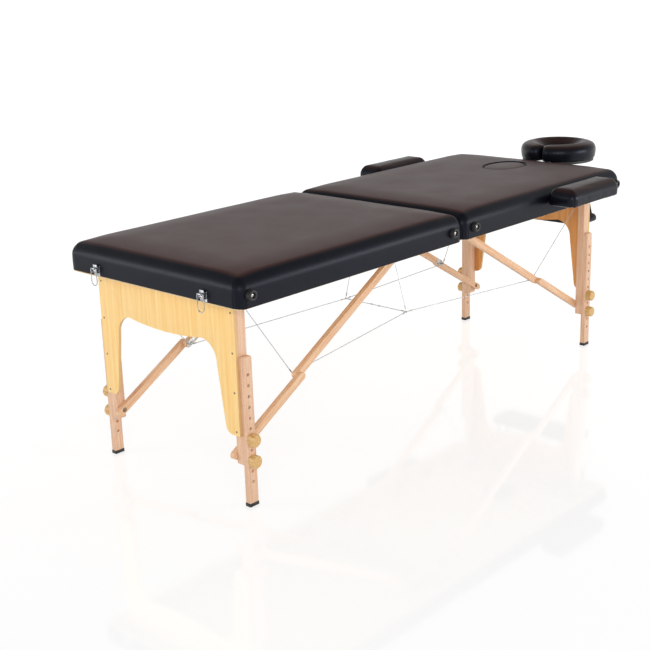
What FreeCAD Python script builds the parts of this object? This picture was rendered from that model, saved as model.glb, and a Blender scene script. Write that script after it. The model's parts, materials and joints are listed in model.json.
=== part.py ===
import FreeCAD, Part
import math
import os

# Folding massage table: two upholstered halves, hinged in the middle, on folding wooden leg frames.
# While it is built, x = 0 is the middle hinge, +x the head end, -y the right side and z = 0 the floor.
# The finished pieces are moved along x, so that the origin is the middle of the whole outline.

Vector = FreeCAD.Vector
FOOT, HEAD = -1, 1
RIGHT, LEFT = -1, 1

# Driving dimensions of the two halves
TABLE_LENGTH = 1850.0
TABLE_WIDTH = 700.0
UNDERSIDE_Z = 565.0
HALF_GAP = 2.0
CORNER_RADIUS = 26.0
RAIL_HEIGHT = 54.0
RAIL_THICK = 18.0
DECK_THICK = 4.0
SKIRT_THICK = 1.5
SKIRT_LIFT = 3.0
PAD_THICK = 35.0
PAD_CROWN = 4.0
PAD_EDGE_ROUND = 36.0
PAD_CROWN_INSET = 150.0
PAD_BULGE = 1.5
PAD_BULGE_HEIGHT = 7.0
PAD_CORNER_SHARE = 0.4
PAD_ROUND_DEGREES = (30, 60, 85)
PAD_CROWN_SHARES = (0.12, 0.35, 0.65, 1.0)

# Face hole and its plug
FACE_HOLE_INSET = 203.0
FACE_HOLE_LENGTH = 184.0
FACE_HOLE_WIDTH = 134.0
FACE_LEDGE = 8.0
PLUG_GAP = 0.8

# Middle hinge
HINGE_DROP = 1.0
HINGE_Y = 230.0
HINGE_LENGTH = 64.0
HINGE_MIDDLE_LENGTH = 24.0
HINGE_KNUCKLE_RADIUS = 4.5
HINGE_PIN_RADIUS = 2.0
HINGE_LEAF_THICK = 2.0
HINGE_LEAF_REACH = 18.0
HINGE_GAP = 0.4

# Leg frames
LEG_INSET = 67.0
LEG_WIDTH = 30.0
LEG_OUTER_Y = 296.0
HEAD_NEST = 20.0
INNER_THICK = 24.0
EXTENSION_THICK = 17.0
SLIDE_GAP = 0.2
PIVOT_RISE = 27.0
LEG_FOLD_DEGREES = 90.8
INNER_END_MARGIN = 13.0
HOLE_PITCH = 30.0
HOLE_COUNT = 11
HOLE_RADIUS = 4.6
LOWEST_HOLE_Z = 70.0
LOWER_KNOB_HOLE = 2
UPPER_KNOB_HOLE = 4
EXTENSION_TOP_MARGIN = 50.0
EXTENSION_TOP_ROUND = 6.0
CAP_BASE = 5.0
CAP_HEIGHT = 10.0
CAP_WALL = 1.0

# Pivots, bolts and knobs
BOLT_RADIUS = 4.0
LEG_PIVOT_RADIUS = 5.0
RUNNING_GAP = 0.05
HEAD_RADIUS = 7.0
HEAD_THICK = 3.0
HEAD_SINK = 1.0
HEAD_GAP = 0.5
PIVOT_BLOCK_LENGTH = 48.0
BRACE_BLOCK_THICK = 22.0
BRACE_BLOCK_PAST = 24.0
BLOCK_LIFT = 9.0
PIN_BITE = 12.0
KNOB_RADIUS = 18.0
KNOB_THICK = 20.0
KNOB_LOBES = 8
KNOB_SCALLOP_RADIUS = 6.0
KNOB_SCALLOP_DEPTH = 2.2
KNOB_EDGE = 2.5
KNOB_GAP = 0.4
KNOB_END_WALL = 5.0

# End panels
PANEL_THICK = 9.0
PANEL_TOP_GAP = 4.0
PANEL_ABOVE_KNOB = 10.0
PANEL_TOE_WIDTH = 52.0
PANEL_HIP_WIDTH = 74.0
PANEL_LOBE_INSET = 128.0
PANEL_LOBE_DEPTH = 112.0
PANEL_MIDDLE_DEPTH = 124.0
PANEL_HIP_DEPTH = 172.0
PANEL_TOE_ROUND = 24.0
PANEL_SHOULDER_ACROSS = 0.32
PANEL_SHOULDER_UP = 0.72
SCREW_COUNT = 4
SCREW_RADIUS = 3.2
SCREW_LENGTH = 26.0
SCREW_BOTTOM_MARGIN = 11.0
SCREW_TOP_MARGIN = 24.0

# Braces
BRACE_ABOVE_KNOB = 16.0
BRACE_TOP_X = 90.0
BRACE_TOP_DROP = 1.0
BAR_WIDTH = 22.0
BAR_THICK = 16.0
BAR_GAP = 0.6
BAR_OVERHANG = 17.0
KNEE_PLATE_LENGTH = 44.0
KNEE_PLATE_WIDTH = 18.0
KNEE_PLATE_THICK = 1.5

# Wires
WIRE_RADIUS = 1.2
WIRE_GAP = 0.3
WIRE_EYE_RADIUS = 3.0
WIRE_EYE_THICK = 4.0
KNEE_EYE_LENGTH = 8.0
WIRE_MEET_Y = 129.0
WIRE_MEET_Z = 306.0
WIRE_TETHER_Y = 60.0
WIRE_LEG_DROP = 12.0

# Bumper feet and carry handle
BUMPER_RADIUS = 16.0
BUMPER_TIP_RADIUS = 13.0
BUMPER_HEIGHT = 14.0
BUMPER_RISE = 35.0
BUMPER_END_INSET = 37.0
BUMPER_MIDDLE_INSET = 54.0
HANDLE_LENGTH = 160.0
HANDLE_SPAN = 92.0
HANDLE_REACH = 36.0
HANDLE_STRAP = 5.0
HANDLE_WIDTH = 25.0
HANDLE_RISE = 20.0

# Draw latches
LATCH_Y = 220.0
LATCH_PLATE_WIDTH = 26.0
LATCH_PLATE_HEIGHT = 28.0
LATCH_PLATE_THICK = 1.5
LATCH_PLATE_RISE = 4.0
LATCH_EAR_THICK = 2.0
LATCH_EAR_REACH = 9.0
LATCH_EAR_HEIGHT = 12.0
LATCH_PIVOT_RISE = 19.0
LATCH_PIVOT_REACH = 5.0
LATCH_PIN_RADIUS = 2.0
LATCH_BARREL_RADIUS = 3.6
LEVER_WIDTH = 17.0
LEVER_LENGTH = 17.0
LEVER_THICK = 2.0
LATCH_SIDE_GAP = 0.4
LOOP_RADIUS = 1.3
LOOP_EYE_RADIUS = 3.0
LOOP_REACH = 12.5
LOOP_RISE = 26.0
LOOP_DROP = 48.0
LOOP_WIDTH = 24.0
HOOK_REACH = 8.0
HOOK_LIP = 5.0
HOOK_THICK = 2.5
HOOK_RISE = 20.0
HOOK_WIDTH = 14.0

# Armrests
ARM_END_INSET = 190.0
ARM_LENGTH = 290.0
ARM_WIDTH = 104.0
ARM_GAP = 3.0
ARM_BOARD_RISE = 45.0
ARM_BOARD_THICK = 9.0
ARM_BOARD_INSET = 6.0
ARM_PAD_THICK = 38.0
ARM_PAD_CROWN = 3.0
ARM_PAD_EDGE = 18.0
ARM_PAD_CROWN_INSET = 38.0
ARM_PAD_CORNER = 22.0
ARM_DOWEL_RADIUS = 6.5
ARM_DOWEL_SINK = 2.0
ARM_DOWEL_INSET = 55.0
ARM_DOWEL_IN = 38.0
ARM_DOWEL_OUT = 70.0
SOCKET_GAP = 0.3

# Face cradle and arm shelf
CRADLE_OUT = 151.0
CRADLE_RING_RADIUS = 96.0
CRADLE_PAD_WIDTH = 88.0
CRADLE_PAD_THICK = 60.0
CRADLE_PAD_CROWN = 5.0
CRADLE_WIDEST_UP = 0.45
CRADLE_SWELL_UP = 0.74
CRADLE_SWELL_ACROSS = 0.93
CRADLE_SHOULDER_ACROSS = 0.72
CRADLE_OPEN_DEGREES = 64.0
CRADLE_BOARD_THICK = 9.0
CRADLE_BOARD_INSET = 8.0
CRADLE_BOARD_RISE = 65.0
CRADLE_ROD_Y = 165.0
CRADLE_ROD_RISE = 23.0
CRADLE_ROD_RADIUS = 6.0
CRADLE_ROD_IN = 45.0
CRADLE_ROD_OUT = 185.0
CRADLE_TUBE_OUT = 33.0
CRADLE_TUBE_RADIUS = 8.0
CRADLE_CLAMP_LENGTH = 30.0
CRADLE_CLAMP_WIDTH = 26.0
CRADLE_CLAMP_WALL = 5.0
CRADLE_LUG_Y = 44.0
CRADLE_LUG_WIDTH = 22.0
CRADLE_LUG_WALL = 4.0
SHELF_OUT = 68.0
SHELF_LENGTH = 130.0
SHELF_WIDTH = 390.0
SHELF_THICK = 26.0
SHELF_TOP_DROP = 117.0
SHELF_EDGE = 14.0
SHELF_CROWN = 3.0
SHELF_CROWN_INSET = 34.0
SHELF_CORNER = 30.0
HANGER_THICK = 6.0
HANGER_WIDTH = 16.0
HANGER_DROP = 20.0
HANGER_PIN_RADIUS = 3.0
STRAP_RING_RADIUS = 6.5
STRAP_WIDTH = 8.0
STRAP_THICK = 3.0
STRAP_SPREAD = 46.0

# Places worked out from the driving dimensions
HALF_LENGTH = TABLE_LENGTH / 2
HALF_WIDTH = TABLE_WIDTH / 2
HALF_START = HALF_GAP / 2
RAIL_TOP = UNDERSIDE_Z + RAIL_HEIGHT
DECK_TOP = RAIL_TOP + DECK_THICK
HINGE_Z = UNDERSIDE_Z - HINGE_DROP
RAIL_INNER_Y = HALF_WIDTH - SKIRT_THICK - RAIL_THICK
END_RAIL_INNER_X = HALF_LENGTH - SKIRT_THICK - RAIL_THICK
MIDDLE_RAIL_INNER_X = HALF_START + SKIRT_THICK + RAIL_THICK
LEG_X = HALF_LENGTH - LEG_INSET
FACE_HOLE_X = HALF_LENGTH - FACE_HOLE_INSET
BUMPER_XS = (HALF_LENGTH - BUMPER_END_INSET, BUMPER_MIDDLE_INSET)
HANDLE_X = HALF_LENGTH / 2
PIVOT_Z = UNDERSIDE_Z + PIVOT_RISE
LOWER_KNOB_Z = LOWEST_HOLE_Z + LOWER_KNOB_HOLE * HOLE_PITCH
UPPER_KNOB_Z = LOWEST_HOLE_Z + UPPER_KNOB_HOLE * HOLE_PITCH
INNER_BOTTOM_Z = LOWER_KNOB_Z - INNER_END_MARGIN
EXTENSION_TOP_Z = LOWEST_HOLE_Z + (HOLE_COUNT - 1) * HOLE_PITCH + EXTENSION_TOP_MARGIN
BRACE_Z = LOWER_KNOB_Z + BRACE_ABOVE_KNOB
BRACE_TOP_Z = PIVOT_Z - BRACE_TOP_DROP
PANEL_TOP_Z = UNDERSIDE_Z - PANEL_TOP_GAP
PANEL_BOTTOM_Z = UPPER_KNOB_Z + PANEL_ABOVE_KNOB
CRADLE_X = HALF_LENGTH + CRADLE_OUT
CRADLE_BOARD_Z = UNDERSIDE_Z + CRADLE_BOARD_RISE
CRADLE_ROD_Z = UNDERSIDE_Z + CRADLE_ROD_RISE
CRADLE_TUBE_X = HALF_LENGTH + CRADLE_TUBE_OUT
CRADLE_TUBE_Z = CRADLE_BOARD_Z - CRADLE_TUBE_RADIUS - CRADLE_LUG_WALL / 2
CRADLE_TIP_X = CRADLE_X + CRADLE_RING_RADIUS + CRADLE_PAD_WIDTH / 2
SHELF_X = HALF_LENGTH + SHELF_OUT
SHELF_TOP_Z = UNDERSIDE_Z - SHELF_TOP_DROP
HANGER_PIN_Z = CRADLE_ROD_Z - HANGER_DROP
ARM_X = HALF_LENGTH - ARM_END_INSET - ARM_LENGTH
ARM_BOARD_Z = UNDERSIDE_Z + ARM_BOARD_RISE
ARM_DOWEL_Z = ARM_BOARD_Z - ARM_DOWEL_RADIUS + ARM_DOWEL_SINK
ARM_DOWEL_XS = (ARM_X + ARM_DOWEL_INSET, ARM_X + ARM_LENGTH - ARM_DOWEL_INSET)
LATCH_FACE_X = HALF_LENGTH + LATCH_PLATE_THICK
LATCH_PIVOT_X = LATCH_FACE_X + LATCH_PIVOT_REACH
LATCH_PIVOT_Z = UNDERSIDE_Z + LATCH_PIVOT_RISE
LOOP_X = HALF_LENGTH + LOOP_REACH
LOOP_Z = UNDERSIDE_Z + LOOP_RISE
OUTLINE_LOW_X = -(LOOP_X + LOOP_EYE_RADIUS)
OUTLINE_MIDDLE_X = (OUTLINE_LOW_X + CRADLE_TIP_X) / 2


def box(x0, x1, y0, y1, z0, z1):
    return Part.makeBox(x1 - x0, y1 - y0, z1 - z0, Vector(x0, y0, z0))


def rod_x(radius, x0, x1, y, z):
    return Part.makeCylinder(radius, x1 - x0, Vector(x0, y, z), Vector(1, 0, 0))


def rod_y(radius, x, y0, y1, z):
    return Part.makeCylinder(radius, y1 - y0, Vector(x, y0, z), Vector(0, 1, 0))


def rod_between(start, end, radius):
    return Part.makeCylinder(radius, (end - start).Length, start, end - start)


def place(shape, end, side):
    """Mirror a piece that was drawn at the head end's left side to another end or side."""
    if end == FOOT:
        shape = shape.mirror(Vector(0, 0, 0), Vector(1, 0, 0))
    if side == RIGHT:
        shape = shape.mirror(Vector(0, 0, 0), Vector(0, 1, 0))
    return shape


def both_sides(shape, end):
    return [place(shape, end, RIGHT), place(shape, end, LEFT)]


def rounded_rectangle(x0, x1, y0, y1, radius, z):
    """Closed wire of four lines and four quarter arcs."""
    mid = radius * (1 - math.sqrt(0.5))
    corners = (
        ((x1, y0 + radius), (x1 - mid, y0 + mid), (x1 - radius, y0)),
        ((x0 + radius, y0), (x0 + mid, y0 + mid), (x0, y0 + radius)),
        ((x0, y1 - radius), (x0 + mid, y1 - mid), (x0 + radius, y1)),
        ((x1 - radius, y1), (x1 - mid, y1 - mid), (x1, y1 - radius)),
    )
    edges = []
    for index, corner in enumerate(corners):
        start, middle, stop = [Vector(x, y, z) for x, y in corner]
        following = Vector(*corners[(index + 1) % 4][0], z)
        edges.append(Part.Arc(start, middle, stop).toShape())
        edges.append(Part.LineSegment(stop, following).toShape())
    return Part.Wire(edges)


def rounded_prism(x0, x1, y0, y1, radius, z0, z1):
    return Part.Face(rounded_rectangle(x0, x1, y0, y1, radius, z0)).extrude(Vector(0, 0, z1 - z0))


def pad(x0, x1, y0, y1, z0, thick, corner, edge, crown, crown_inset):
    """Cushion with sides drawn in at the seam, a rounded edge and a crowned top."""
    shoulder = thick - crown
    rise = shoulder - PAD_BULGE_HEIGHT
    sections = [(0.0, PAD_BULGE), (PAD_BULGE_HEIGHT, 0.0)]
    for turn in PAD_ROUND_DEGREES:
        angle = math.radians(turn)
        height = PAD_BULGE_HEIGHT + rise * math.sin(angle)
        sections.append((height, edge * (1 - math.cos(angle))))
    for share in PAD_CROWN_SHARES:
        height = shoulder + crown * (1 - (1 - share) ** 2)
        sections.append((height, edge + (crown_inset - edge) * share))
    wires = []
    for height, inset in sections:
        smallest = min(x1 - x0, y1 - y0) - 2 * inset
        radius = min(corner, PAD_CORNER_SHARE * smallest)
        wire = rounded_rectangle(x0 + inset, x1 - inset, y0 + inset, y1 - inset, radius, z0 + height)
        wires.append(wire)
    return Part.makeLoft(wires, True, False)


def oval_prism(x, length, width, z0, z1):
    oval = Part.Ellipse(Vector(x, 0, z0), length / 2, width / 2)
    return Part.Face(Part.Wire([oval.toShape()])).extrude(Vector(0, 0, z1 - z0))


def flat_in_xz(points, y0, y1):
    """Plate between two y values, from a closed outline of x, z points."""
    wire = Part.makePolygon([Vector(x, y0, z) for x, z in points + points[:1]])
    return Part.Face(wire).extrude(Vector(0, y1 - y0, 0))


def bar(start, stop, before, after, width, y0, y1):
    """Bar with round ends between two x, z points, reaching past them by before and after."""
    along = Vector(stop[0] - start[0], 0, stop[1] - start[1]).normalize()
    across = Vector(-along.z, 0, along.x) * (width / 2)
    low = Vector(start[0], y0, start[1]) - along * before
    high = Vector(stop[0], y0, stop[1]) + along * after
    round_end = along * (width / 2)
    edges = [
        Part.LineSegment(low + across, high + across).toShape(),
        Part.Arc(high + across, high + round_end, high - across).toShape(),
        Part.LineSegment(high - across, low - across).toShape(),
        Part.Arc(low - across, low - round_end, low + across).toShape(),
    ]
    return Part.Face(Part.Wire(edges)).extrude(Vector(0, y1 - y0, 0))


class Lanes:
    """The y ranges, side by side, of one end's leg pieces and brace bars."""

    def __init__(self, end):
        outer = LEG_OUTER_Y - (HEAD_NEST if end == HEAD else 0.0)
        self.extension = (outer - EXTENSION_THICK, outer)
        inner = self.extension[0] - SLIDE_GAP
        self.leg = (inner - INNER_THICK, inner)
        lower = self.leg[0] - BAR_GAP
        self.lower_bar = (lower - BAR_THICK, lower)
        upper = self.lower_bar[0] - BAR_GAP
        self.upper_bar = (upper - BAR_THICK, upper)
        block = self.upper_bar[0] - BAR_GAP
        self.brace_block = (block - BRACE_BLOCK_THICK, block)


def brace_places():
    """Foot pivot, knee and top pivot of a brace that is straight when open and flat when folded."""
    reach = PIVOT_Z - BRACE_Z
    fold = math.radians(LEG_FOLD_DEGREES)
    foot = Vector(LEG_X, 0, BRACE_Z)
    folded_foot = Vector(LEG_X - reach * math.sin(fold), 0, PIVOT_Z - reach * math.cos(fold))
    top = Vector(BRACE_TOP_X, 0, BRACE_TOP_Z)
    open_length = (foot - top).Length
    folded_length = (folded_foot - top).Length
    knee = top + (foot - top) * ((open_length + folded_length) / (2 * open_length))
    return foot, knee, top


def half_outline(inset, radius, z0, z1):
    low, high = HALF_START + inset, HALF_LENGTH - inset
    width = HALF_WIDTH - inset
    return rounded_prism(low, high, -width, width, radius, z0, z1)


def hinge_reliefs():
    """Room in the middle rail and the skirt for the hinge's leaf and knuckles."""
    room = HINGE_KNUCKLE_RADIUS + HINGE_GAP
    cuts = []
    for side in (RIGHT, LEFT):
        y0 = side * HINGE_Y - HINGE_LENGTH / 2 - HINGE_GAP
        y1 = side * HINGE_Y + HINGE_LENGTH / 2 + HINGE_GAP
        cuts.append(box(-room, room, y0, y1, UNDERSIDE_Z - room, HINGE_Z + room))
        leaf_top = UNDERSIDE_Z + HINGE_LEAF_THICK
        cuts.append(box(0, HINGE_LEAF_REACH + HINGE_GAP, y0, y1, UNDERSIDE_Z - room, leaf_top))
    return cuts


def socket_cuts():
    """Holes through the head half's rails and skirt for the armrest dowels and the cradle rods."""
    cuts = []
    for x in ARM_DOWEL_XS:
        radius = ARM_DOWEL_RADIUS + SOCKET_GAP
        cuts.append(rod_y(radius, x, -HALF_WIDTH, HALF_WIDTH, ARM_DOWEL_Z))
    for side in (RIGHT, LEFT):
        radius = CRADLE_ROD_RADIUS + SOCKET_GAP
        y = side * CRADLE_ROD_Y
        cuts.append(rod_x(radius, END_RAIL_INNER_X, HALF_LENGTH, y, CRADLE_ROD_Z))
    return cuts


def make_cushions(nodes):
    for end in (FOOT, HEAD):
        cushion = pad(
            HALF_START,
            HALF_LENGTH,
            -HALF_WIDTH,
            HALF_WIDTH,
            DECK_TOP,
            PAD_THICK,
            CORNER_RADIUS,
            PAD_EDGE_ROUND,
            PAD_CROWN,
            PAD_CROWN_INSET,
        )
        if end == HEAD:
            top = DECK_TOP + PAD_THICK
            plug_length = FACE_HOLE_LENGTH - 2 * PLUG_GAP
            plug_width = FACE_HOLE_WIDTH - 2 * PLUG_GAP
            plug = oval_prism(FACE_HOLE_X, plug_length, plug_width, DECK_TOP, top)
            hole = oval_prism(FACE_HOLE_X, FACE_HOLE_LENGTH, FACE_HOLE_WIDTH, DECK_TOP, top)
            nodes["face_plug"] = cushion.common(plug)
            nodes["head_cushion"] = cushion.cut(hole)
        else:
            nodes["foot_cushion"] = place(cushion, FOOT, LEFT)


def make_frames(nodes):
    inner_radius = CORNER_RADIUS - SKIRT_THICK
    for end, name in ((FOOT, "foot"), (HEAD, "head")):
        cuts = hinge_reliefs()
        if end == HEAD:
            cuts = cuts + socket_cuts()
        skirt_low = UNDERSIDE_Z + SKIRT_LIFT
        skirt = half_outline(0, CORNER_RADIUS, skirt_low, DECK_TOP)
        skirt = skirt.cut([half_outline(SKIRT_THICK, inner_radius, skirt_low, DECK_TOP)] + cuts)
        nodes[name + "_skirt"] = place(skirt, end, LEFT)

        outline = half_outline(SKIRT_THICK, inner_radius, UNDERSIDE_Z, RAIL_TOP)
        rails = []
        for side in (RIGHT, LEFT):
            y0, y1 = sorted((side * RAIL_INNER_Y, side * HALF_WIDTH))
            rails.append(box(HALF_START, HALF_LENGTH, y0, y1, UNDERSIDE_Z, RAIL_TOP))
        width = RAIL_INNER_Y
        rails.append(box(END_RAIL_INNER_X, HALF_LENGTH, -width, width, UNDERSIDE_Z, RAIL_TOP))
        rails.append(box(HALF_START, MIDDLE_RAIL_INNER_X, -width, width, UNDERSIDE_Z, RAIL_TOP))
        pieces = [place(rail.common(outline).cut(cuts), end, LEFT) for rail in rails]

        lanes = Lanes(end)
        low = UNDERSIDE_Z + BLOCK_LIFT
        near, far = LEG_X - PIVOT_BLOCK_LENGTH / 2, LEG_X + PIVOT_BLOCK_LENGTH / 2
        leg_block = box(near, min(far, END_RAIL_INNER_X), lanes.leg[1] + BAR_GAP, RAIL_INNER_Y, low, RAIL_TOP)
        leg_block = leg_block.cut(leg_pivot_pin(lanes))
        past = BRACE_TOP_X + BRACE_BLOCK_PAST
        brace_block = box(MIDDLE_RAIL_INNER_X, past, *lanes.brace_block, low, RAIL_TOP)
        brace_block = brace_block.cut(brace_top_pin(lanes))
        pieces += both_sides(leg_block, end) + both_sides(brace_block, end)
        nodes[name + "_rails"] = Part.makeCompound(pieces)

        deck = half_outline(SKIRT_THICK, inner_radius, RAIL_TOP, DECK_TOP)
        if end == HEAD:
            length, hole_width = FACE_HOLE_LENGTH - 2 * FACE_LEDGE, FACE_HOLE_WIDTH - 2 * FACE_LEDGE
            deck = deck.cut(oval_prism(FACE_HOLE_X, length, hole_width, RAIL_TOP, DECK_TOP))
        nodes[name + "_deck"] = place(deck, end, LEFT)

        pins = both_sides(leg_pivot_pin(lanes), end) + both_sides(brace_top_pin(lanes), end)
        nodes[name + "_pivot_bolts"] = Part.makeCompound(pins)


def headed_pin(x, z, radius, head_y, tip_y):
    """Bolt along y whose head lies sunk at head_y and whose shank ends at tip_y."""
    step = 1 if tip_y > head_y else -1
    head_end = head_y + step * HEAD_THICK
    head = rod_y(HEAD_RADIUS, x, min(head_y, head_end), max(head_y, head_end), z)
    shank = rod_y(radius, x, min(head_end, tip_y), max(head_end, tip_y), z)
    return head.fuse(shank).removeSplitter()


def headed_bore(x, z, radius, face_y, far_y):
    """Hole for a headed pin, from the face that its head lies under to the far face."""
    step = 1 if far_y > face_y else -1
    floor_y = face_y + step * (HEAD_SINK + HEAD_THICK + HEAD_GAP)
    sink = rod_y(HEAD_RADIUS + HEAD_GAP, x, min(face_y, floor_y), max(face_y, floor_y), z)
    bore = rod_y(radius + RUNNING_GAP, x, min(face_y, far_y), max(face_y, far_y), z)
    return sink.fuse(bore)


def leg_pivot_pin(lanes):
    return headed_pin(LEG_X, PIVOT_Z, LEG_PIVOT_RADIUS, lanes.leg[0] + HEAD_SINK, lanes.leg[1] + PIN_BITE)


def brace_top_pin(lanes):
    tip = lanes.brace_block[1] - PIN_BITE
    return headed_pin(BRACE_TOP_X, BRACE_TOP_Z, BOLT_RADIUS, lanes.upper_bar[1] - HEAD_SINK, tip)


def brace_foot_pin(lanes):
    tip = lanes.leg[0] + PIN_BITE
    return headed_pin(LEG_X, BRACE_Z, BOLT_RADIUS, lanes.lower_bar[0] + HEAD_SINK, tip)


def knob_bolt(lanes, z):
    tip = lanes.extension[1] + KNOB_GAP + KNOB_THICK - KNOB_END_WALL - HEAD_GAP
    return rod_y(BOLT_RADIUS, LEG_X, lanes.leg[1] - PIN_BITE, tip, z)


def panel_screws(lanes):
    y = (lanes.leg[0] + lanes.leg[1]) / 2
    face = LEG_X + LEG_WIDTH / 2 + PANEL_THICK
    low, high = PANEL_BOTTOM_Z + SCREW_BOTTOM_MARGIN, PANEL_TOP_Z - SCREW_TOP_MARGIN
    step = (high - low) / (SCREW_COUNT - 1)
    return [rod_x(SCREW_RADIUS, face - SCREW_LENGTH, face, y, low + i * step) for i in range(SCREW_COUNT)]


def end_panel(lanes):
    """Board with two tapered legs and a wavy apron, on the end-facing side of the inner legs."""
    edge = lanes.leg[1]
    toe, hip = edge - PANEL_TOE_WIDTH, edge - PANEL_HIP_WIDTH
    lobe = edge - PANEL_LOBE_INSET
    x = LEG_X + LEG_WIDTH / 2
    hip_z, lobe_z = PANEL_TOP_Z - PANEL_HIP_DEPTH, PANEL_TOP_Z - PANEL_LOBE_DEPTH
    shoulder_y = hip + (lobe - hip) * PANEL_SHOULDER_ACROSS
    shoulder_z = hip_z + (lobe_z - hip_z) * PANEL_SHOULDER_UP
    toe_mid = PANEL_TOE_ROUND * (1 - math.sqrt(0.5))

    def point(side, y, z):
        return Vector(x, side * y, z)

    edges = [Part.LineSegment(point(-1, edge, PANEL_TOP_Z), point(1, edge, PANEL_TOP_Z)).toShape()]
    for side in (RIGHT, LEFT):
        heel = point(side, edge, PANEL_BOTTOM_Z)
        toe_start = point(side, toe + PANEL_TOE_ROUND, PANEL_BOTTOM_Z)
        toe_middle = point(side, toe + toe_mid, PANEL_BOTTOM_Z + toe_mid)
        toe_end = point(side, toe, PANEL_BOTTOM_Z + PANEL_TOE_ROUND)
        hip_point, lobe_point = point(side, hip, hip_z), point(side, lobe, lobe_z)
        edges.append(Part.LineSegment(point(side, edge, PANEL_TOP_Z), heel).toShape())
        edges.append(Part.LineSegment(heel, toe_start).toShape())
        edges.append(Part.Arc(toe_start, toe_middle, toe_end).toShape())
        edges.append(Part.LineSegment(toe_end, hip_point).toShape())
        edges.append(Part.Arc(hip_point, point(side, shoulder_y, shoulder_z), lobe_point).toShape())
    middle = point(1, 0, PANEL_TOP_Z - PANEL_MIDDLE_DEPTH)
    edges.append(Part.Arc(point(-1, lobe, lobe_z), middle, point(1, lobe, lobe_z)).toShape())
    outline = Part.Wire(Part.__sortEdges__(edges))
    board = Part.Face(outline).extrude(Vector(PANEL_THICK, 0, 0))
    cuts = []
    for screw in panel_screws(lanes):
        cuts += both_sides(screw, HEAD)
    return board.cut(cuts)


def inner_leg(lanes):
    half = LEG_WIDTH / 2
    leg = box(LEG_X - half, LEG_X + half, *lanes.leg, INNER_BOTTOM_Z, PIVOT_Z)
    leg = leg.fuse(rod_y(half, LEG_X, *lanes.leg, PIVOT_Z)).removeSplitter()
    cuts = [headed_bore(LEG_X, PIVOT_Z, LEG_PIVOT_RADIUS, lanes.leg[0], lanes.leg[1])]
    cuts += [knob_bolt(lanes, LOWER_KNOB_Z), knob_bolt(lanes, UPPER_KNOB_Z), brace_foot_pin(lanes)]
    return leg.cut(cuts + panel_screws(lanes))


def leg_extension(lanes):
    half = LEG_WIDTH / 2
    top = EXTENSION_TOP_Z
    stick = box(LEG_X - half, LEG_X + half, *lanes.extension, CAP_BASE, top)
    edges = [e for e in stick.Edges if all(abs(v.Z - top) < 1e-6 for v in e.Vertexes)]
    stick = stick.makeFillet(EXTENSION_TOP_ROUND, edges)
    holes = []
    for index in range(HOLE_COUNT):
        z = LOWEST_HOLE_Z + index * HOLE_PITCH
        holes.append(rod_y(HOLE_RADIUS, LEG_X, *lanes.extension, z))
    return stick.cut(holes)


def rubber_cap(lanes):
    half = LEG_WIDTH / 2
    y0, y1 = lanes.extension
    low, high = LEG_X - half - CAP_WALL, LEG_X + half + CAP_WALL
    cap = box(low, high, y0 - CAP_WALL, y1 + CAP_WALL, 0, CAP_HEIGHT)
    return cap.cut(box(LEG_X - half, LEG_X + half, y0, y1, CAP_BASE, CAP_HEIGHT))


def knob(lanes, z):
    """Faceted wooden knob with shallow scallops round its rim and a blind bore for its bolt."""
    face = lanes.extension[1] + KNOB_GAP
    back = rod_y(KNOB_RADIUS, LEG_X, face, face + KNOB_THICK - KNOB_EDGE, z)
    rim = Vector(LEG_X, face + KNOB_THICK - KNOB_EDGE, z)
    front = Part.makeCone(KNOB_RADIUS, KNOB_RADIUS - KNOB_EDGE, KNOB_EDGE, rim, Vector(0, 1, 0))
    body = back.fuse(front).removeSplitter()
    cuts = [rod_y(BOLT_RADIUS + RUNNING_GAP, LEG_X, face, face + KNOB_THICK - KNOB_END_WALL, z)]
    middle = KNOB_RADIUS + KNOB_SCALLOP_RADIUS - KNOB_SCALLOP_DEPTH
    for index in range(KNOB_LOBES):
        angle = 2 * math.pi * (index + 0.5) / KNOB_LOBES
        x, height = LEG_X + middle * math.cos(angle), z + middle * math.sin(angle)
        cuts.append(rod_y(KNOB_SCALLOP_RADIUS, x, face, face + KNOB_THICK, height))
    return body.cut(cuts)


def make_legs(nodes):
    for end, name in ((FOOT, "foot"), (HEAD, "head")):
        lanes = Lanes(end)
        nodes[name + "_inner_legs"] = Part.makeCompound(both_sides(inner_leg(lanes), end))
        nodes[name + "_end_panel"] = place(end_panel(lanes), end, LEFT)
        fasteners = panel_screws(lanes) + [brace_foot_pin(lanes)]
        fasteners += [knob_bolt(lanes, LOWER_KNOB_Z), knob_bolt(lanes, UPPER_KNOB_Z)]
        pieces = []
        for fastener in fasteners:
            pieces += both_sides(fastener, end)
        nodes[name + "_leg_fasteners"] = Part.makeCompound(pieces)
        for side, side_name in ((RIGHT, "right"), (LEFT, "left")):
            label = name + "_" + side_name
            nodes["leg_extension_" + label] = place(leg_extension(lanes), end, side)
            nodes["rubber_cap_" + label] = place(rubber_cap(lanes), end, side)
            nodes["lower_knob_" + label] = place(knob(lanes, LOWER_KNOB_Z), end, side)
            nodes["upper_knob_" + label] = place(knob(lanes, UPPER_KNOB_Z), end, side)


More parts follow.
